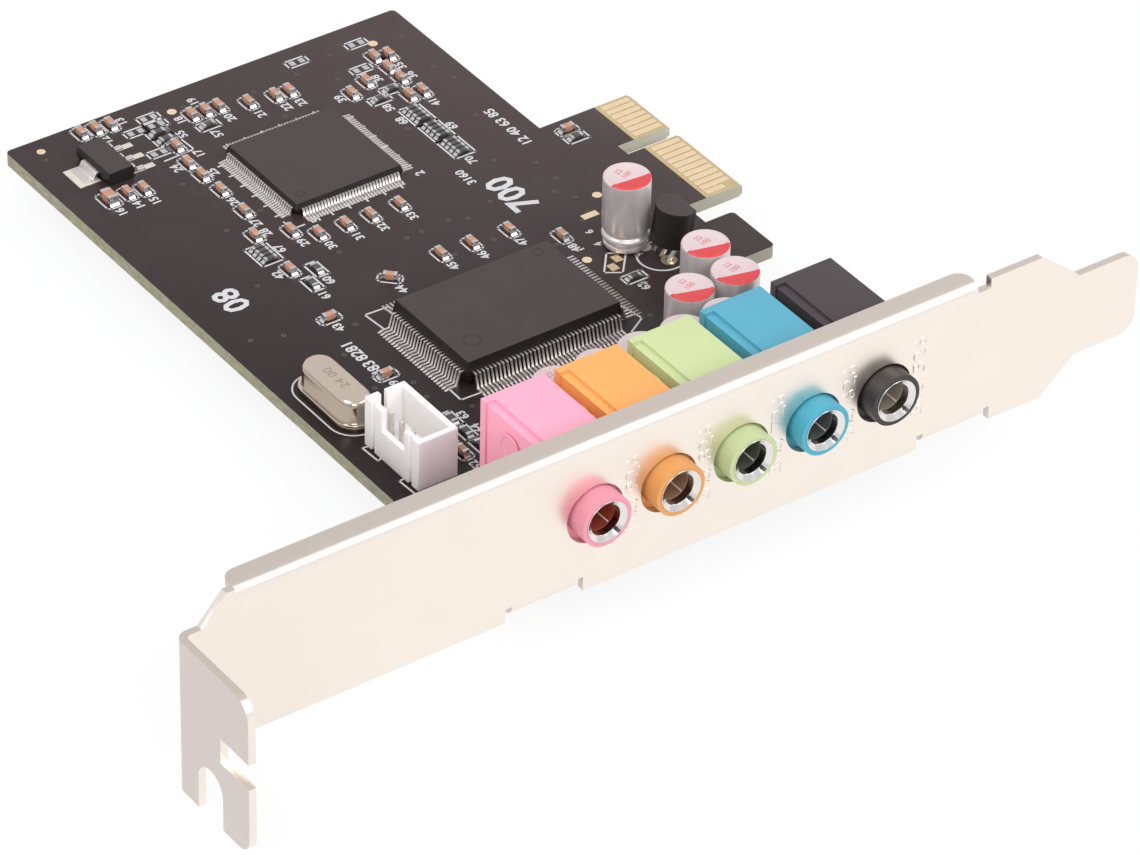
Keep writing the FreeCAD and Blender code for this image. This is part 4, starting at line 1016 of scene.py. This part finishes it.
# Painted shade: the dark bars stand for the shadowed cross recess.
crosses = bmesh.new()
CROSS_REACH, CROSS_HALF = 0.95, 0.17
for screw in solids("bracket_screws"):
    for turn in (30, 120):
        stand = standing(screw["middle"], screw["high"].z, math.radians(turn))
        soft_block(crosses, (-CROSS_REACH, -CROSS_HALF, -0.05), (CROSS_REACH, CROSS_HALF, 0.012),
                   0.0, stand)
dress("screw_crosses", crosses, cross_shade)
print("screws:", len(solids("bracket_screws")))

# %% [markdown]
# Every wire that goes through the board ends in a small cone of solder on the far side.
# The cones stand wherever the solid model has the foot of a wire.

# %% Solder under the board
CONE = ((1.0, -0.01), (0.97, 0.05), (0.66, 0.30), (0.46, 0.62), (0.36, 0.90), (0.22, 1.0))
CONE_REACH = 0.95
cones = bmesh.new()
wires = ["capacitor_leads", "crystal_leads", "header_pins", "transistor_leads"]
wires += [colour + "_jack_contacts" for colour in JACK_COLOURS]
joint_count = 0
for node in wires:
    for wire in solids(node):
        tip = wire["foot"]
        if tip.z > BOARD_BOTTOM - 0.1:
            continue
        spread = 0.85 if "jack" in node or "capacitor" in node else 0.62
        joint_count += 1
        reach = min(CONE_REACH, BOARD_BOTTOM - tip.z + 0.05)
        skin(cones, [circle(r * spread, BOARD_BOTTOM - z * reach, 16, tip.xy) for r, z in CONE])
dress("solder_cones", cones, solder_tin, smooth=60)
print("solder cones:", joint_count)

# %% [markdown]
# Printed marks are white ink about two hundredths of a millimetre thick. Each small part
# and each resistor array has a printed frame with its corners cut, and a plain running
# number beside it. The numbers look for room by themselves: each tries the places round
# its frame, and takes the first that touches no other part, frame or number. A few frames
# hold two tinned pads and no part, as on a board that serves more than one model of card.

# %% Printed marks
INK_LOW, INK_HIGH = BOARD_TOP - 0.004, BOARD_TOP + 0.02
LINE = 0.21
NUMBER_ROOM = (39.5, 16.5, 89.7, 95.5)
FRAME_GROWS = (1.15, 0.80)
EMPTY_GROWS = (1.0, 0.55)
EMPTY_SIZE = (1.7, 0.85, 0.05)
EMPTY_PAD_AT, EMPTY_PAD_HALF = 0.62, (0.35, 0.42)
EMPTY_PLACES = [(x, y) for x in (52.7, 55.4) for y in (93.0, 91.4, 89.8, 88.2, 86.6)]
EMPTY_PLACES += [(69.4, 88.6), (80.4, 88.0), (82.8, 92.6), (75.2, 93.2)]
FIRST_NUMBER = 11
AROUND_A_FRAME = ((0, -1), (1, 0), (-1, 0), (0, 1), (1, -1), (-1, -1), (1, 1), (-1, 1))
ink_white = speckled("ink_white", (0.62, 0.605, 0.61), (0.50, 0.485, 0.49), 0.5, 1.0)
ink = bmesh.new()
taken = []


def line(points, closed=False):
    """A printed line through points."""
    for (x0, y0), (x1, y1) in zip(points, [*points[1:], points[0]] if closed else points[1:]):
        half = math.hypot(x1 - x0, y1 - y0) / 2 + LINE / 2
        stand = standing(((x0 + x1) / 2, (y0 + y1) / 2), 0, math.atan2(y1 - y0, x1 - x0))
        soft_block(ink, (-half, -LINE / 2, INK_LOW), (half, LINE / 2, INK_HIGH), 0.0, stand)


def claim(points, margin=0.0):
    """Keeps later numbers away from these points."""
    xs, ys = [p[0] for p in points], [p[1] for p in points]
    taken.append((min(xs) - margin, min(ys) - margin, max(xs) + margin, max(ys) + margin))


def is_free(box):
    """Whether a box lies well on the board and touches nothing that is claimed."""
    left, near, right, far = NUMBER_ROOM
    inside = left < box[0] and box[2] < right and near < box[1] and box[3] < far
    return inside and not any(box[0] < t[2] and t[0] < box[2] and box[1] < t[3] and t[1] < box[3]
                              for t in taken)


def number(text, place, size=1.45, weight=0.04):
    """Prints a plain number, read from the right, and keeps other numbers away from it."""
    stand = standing(place, (INK_LOW + INK_HIGH) / 2, math.pi / 2)
    figures(ink, text, size, INK_HIGH - INK_LOW, stand, weight)
    claim([place], size * 0.4)


def framed(parts, longer, wider, cut):
    """A printed frame with cut corners round one part or a row of parts."""
    turn = parts[0]["turn"]
    heading = Vector((math.cos(turn), math.sin(turn)))
    side = Vector((-heading.y, heading.x))
    along = [p["middle"].xy.dot(heading) + s * p["size"].x / 2 for p in parts for s in (-1, 1)]
    over = [p["middle"].xy.dot(side) + s * p["size"].y / 2 for p in parts for s in (-1, 1)]
    middle = heading * ((min(along) + max(along)) / 2) + side * ((min(over) + max(over)) / 2)
    a = (max(along) - min(along) + longer) / 2
    b = (max(over) - min(over) + wider) / 2
    corners = [(a, b - cut), (a - cut, b), (cut - a, b), (-a, b - cut),
               (-a, cut - b), (cut - a, -b), (a - cut, -b), (a, cut - b)]
    points = [middle + heading * u + side * v for u, v in corners]
    line([tuple(point) for point in points], closed=True)
    claim(points, 0.08)
    return middle, taken[-1]


def ink_ring(outer, inner):
    """A printed band between two outlines of equally many points."""
    skin(ink, [[Vector((p[0], p[1], z)) for p in ring] for ring, z in
               ((inner, INK_LOW), (outer, INK_LOW), (outer, INK_HIGH), (inner, INK_HIGH))],
         False)


for node in ["audio_controller_leads", "bridge_chip_leads", "regulator_body", "regulator_leads",
             "crystal_base", "header_housing", "transistor_body",
             *CAPACITORS, *[colour + "_jack_housing" for colour in JACK_COLOURS]]:
    low, high = drawing_box(node)
    claim([low.xy, high.xy], 0.2)

frames = []
for node, parts in small_parts.items():
    step = 4 if node == "resistor_arrays" else 1
    cut = 0.34 if "capacitor" in node else 0.10
    for i in range(0, len(parts), step):
        frames.append(framed(parts[i:i + step], *FRAME_GROWS, cut))
empty_pads = bmesh.new()
empty_count = 0
for spot in EMPTY_PLACES:
    pair = {"middle": Vector((*spot, BOARD_TOP)), "turn": 0.0, "size": Vector(EMPTY_SIZE)}
    if is_free((spot[0] - 1.1, spot[1] - 0.6, spot[0] + 1.1, spot[1] + 0.6)):
        framed([pair], *EMPTY_GROWS, 0.10)
        for x in (spot[0] - EMPTY_PAD_AT, spot[0] + EMPTY_PAD_AT):
            soft_block(empty_pads, (x - EMPTY_PAD_HALF[0], spot[1] - EMPTY_PAD_HALF[1], INK_LOW),
                       (x + EMPTY_PAD_HALF[0], spot[1] + EMPTY_PAD_HALF[1], BOARD_TOP + 0.06), 0.03)
        empty_count += 1
dress("empty_pads", empty_pads, solder_tin)
print("places without a part:", empty_count)
for i, (middle, box) in enumerate(frames):
    text = str(FIRST_NUMBER + i)
    half_x, half_y = 0.55, 0.46 * len(text)
    for ux, uy in AROUND_A_FRAME:
        x = middle.x + ux * ((box[2] - box[0]) / 2 + half_x + 0.04)
        y = middle.y + uy * ((box[3] - box[1]) / 2 + half_y + 0.04)
        if is_free((x - half_x, y - half_y, x + half_x, y + half_y)):
            number(text, (x, y))
            claim([(x - half_x, y - half_y), (x + half_x, y + half_y)])
            break
print("frames:", len(frames), "numbers and claims:", len(taken))

# %% [markdown]
# The marks below are listed one by one, in drawing millimetres: the crystal's outline, the
# header's and the chips' corners, the transistor's ring, and some larger plain numbers. The
# thin chip has a tick beside it at every seventh part of its length.

# %% Larger marks
ink_ring(*[stadium_ring(crystal_middle, rim_length + grow, rim_width + grow, 0.0)
           for grow in (1.35, 0.95)])
line([(42.2, 29.1), (41.14, 29.38), (41.27, 26.6), (41.9, 26.8)])
line([(42.12, 22.52), (41.15, 22.56), (41.28, 19.82)])
line([(54.8, 45.3), (54.5, 48.75), (57.4, 48.6)])
line([(54.44, 32.64), (54.4, 30.54), (56.75, 30.45)])
line([(78.3, 34.59), (78.72, 31.89), (76.4, 30.5)])
ink_ring(*[circle(r, 0.0, 40, (87.20, 39.99)) for r in (2.85, 2.62)])
line([(82.5, 43.7), (84.3, 42.6), (81.9, 39.8), (80.2, 40.9)], closed=True)
for text, spot in (("4", (82.83, 45.6)), ("1", (80.6, 45.8)), ("6", (83.35, 48.0)),
                   ("9", (85.34, 41.6)), ("3", (82.57, 37.0))):
    number(text, spot, 1.3)
low, high = drawing_box("bridge_chip_leads")
TICK_GAP, TICK_HALF, TICK_PARTS = 0.55, 0.3, 7
for i in range(1, TICK_PARTS):
    share = i / TICK_PARTS
    for x in (low.x - TICK_GAP, high.x + TICK_GAP):
        y = low.y + share * (high.y - low.y)
        line([(x - TICK_HALF, y), (x + TICK_HALF, y)])
    for y in (low.y - TICK_GAP, high.y + TICK_GAP):
        x = low.x + share * (high.x - low.x)
        line([(x, y - TICK_HALF), (x, y + TICK_HALF)])
line([(low.x - 0.7, low.y + 0.9), (low.x - 0.7, low.y - 0.7), (low.x + 0.9, low.y - 0.7)])
line([(55.85, 93.3), (56.3, 85.1), (52.4, 84.9)])
for i, y in enumerate((44.9, 43.0, 40.8, 38.9)):
    number(str(81 + i), (50.0, y), 1.9)
for text, spot, size, weight in (
        ("08", (44.3, 58.9), 4.2, 0.10), ("700", (80.6, 58.6), 4.6, 0.12),
        ("12 40 63 85", (87.6, 69.5), 1.7, 0.04), ("3160", (78.1, 64.0), 1.5, 0.04),
        ("5", (59.95, 66.32), 1.5, 0.04), ("2", (74.38, 67.47), 1.5, 0.04)):
    number(text, spot, size, weight)
dress("printed_marks", ink, ink_white)

# %% [markdown]
# Bare gold shows in a few places: a round target for the placing machine, some test
# points, two empty pads in a frame, and the transistor's first hole. The regulator's legs
# and tab lie on wider pads of cream-coloured solder. Small rings mark where a track
# changes sides. They lie under the mask and so are barely lighter than it.

# %% Bare pads and small rings
PAD_HIGH = INK_HIGH + 0.01
ROUND_PADS = (((42.05, 93.95), 0.50), ((88.06, 53.24), 0.55), ((80.04, 43.85), 0.55),
              ((84.4, 91.6), 0.55), ((58.2, 92.6), 0.55))
SQUARE_PADS = (((84.2, 50.1), (86.2, 51.0)), ((81.1, 40.6), (82.1, 41.8)),
               ((82.4, 41.7), (83.4, 42.9)))
TAB_FROM = 1.6
TAB_GROWS, LEG_GROWS = (0.9, 0.35), (1.3, 0.05)
RING_COUNT = 60
pads = bmesh.new()
for spot, radius in ROUND_PADS:
    disc(pads, radius, INK_LOW, PAD_HIGH, spot)
disc(pads, 0.90, INK_LOW, PAD_HIGH, (87.39, 38.93), hole=0.42)
for low, high in SQUARE_PADS:
    soft_block(pads, (*low, INK_LOW), (*high, PAD_HIGH), 0.0)
reg_low, reg_high = drawing_box("regulator_leads")
tinned = bmesh.new()
for wire in solids("regulator_leads"):
    low, high = wire["low"], wire["high"]
    longer, wider = TAB_GROWS if high.y - low.y > TAB_FROM else LEG_GROWS
    if wire["middle"].x < (reg_low.x + reg_high.x) / 2:
        near, far = low.x - longer, high.x
    else:
        near, far = low.x, high.x + longer
    soft_block(tinned, (near, low.y - wider, INK_LOW - 0.05),
               (far, high.y + wider, BOARD_TOP + 0.09), 0.06)
cream_solder = speckled("cream_solder", (0.66, 0.62, 0.53), (0.50, 0.46, 0.38), 0.34, 0.8)
disc(tinned, 0.75, INK_LOW, BOARD_TOP + 0.05, (86.6, 42.3), 20)
dress("regulator_pads", tinned, cream_solder)
dress("bare_pads", pads, contact_gold)
tented = speckled("tented_rings", (0.075, 0.062, 0.058), (0.055, 0.045, 0.042), 0.4)
vias = bmesh.new()
count = 0
while count < RING_COUNT:
    spot = (random.uniform(41.0, 88.5), random.uniform(18.0, 94.5))
    if is_free((spot[0] - 0.4, spot[1] - 0.4, spot[0] + 0.4, spot[1] + 0.4)):
        disc(vias, 0.30, INK_LOW, INK_LOW + 0.012, spot, 14, 0.12)
        claim([spot], 0.9)
        count += 1
dress("small_rings", vias, tented)
print("bare pads and", count, "small rings placed")
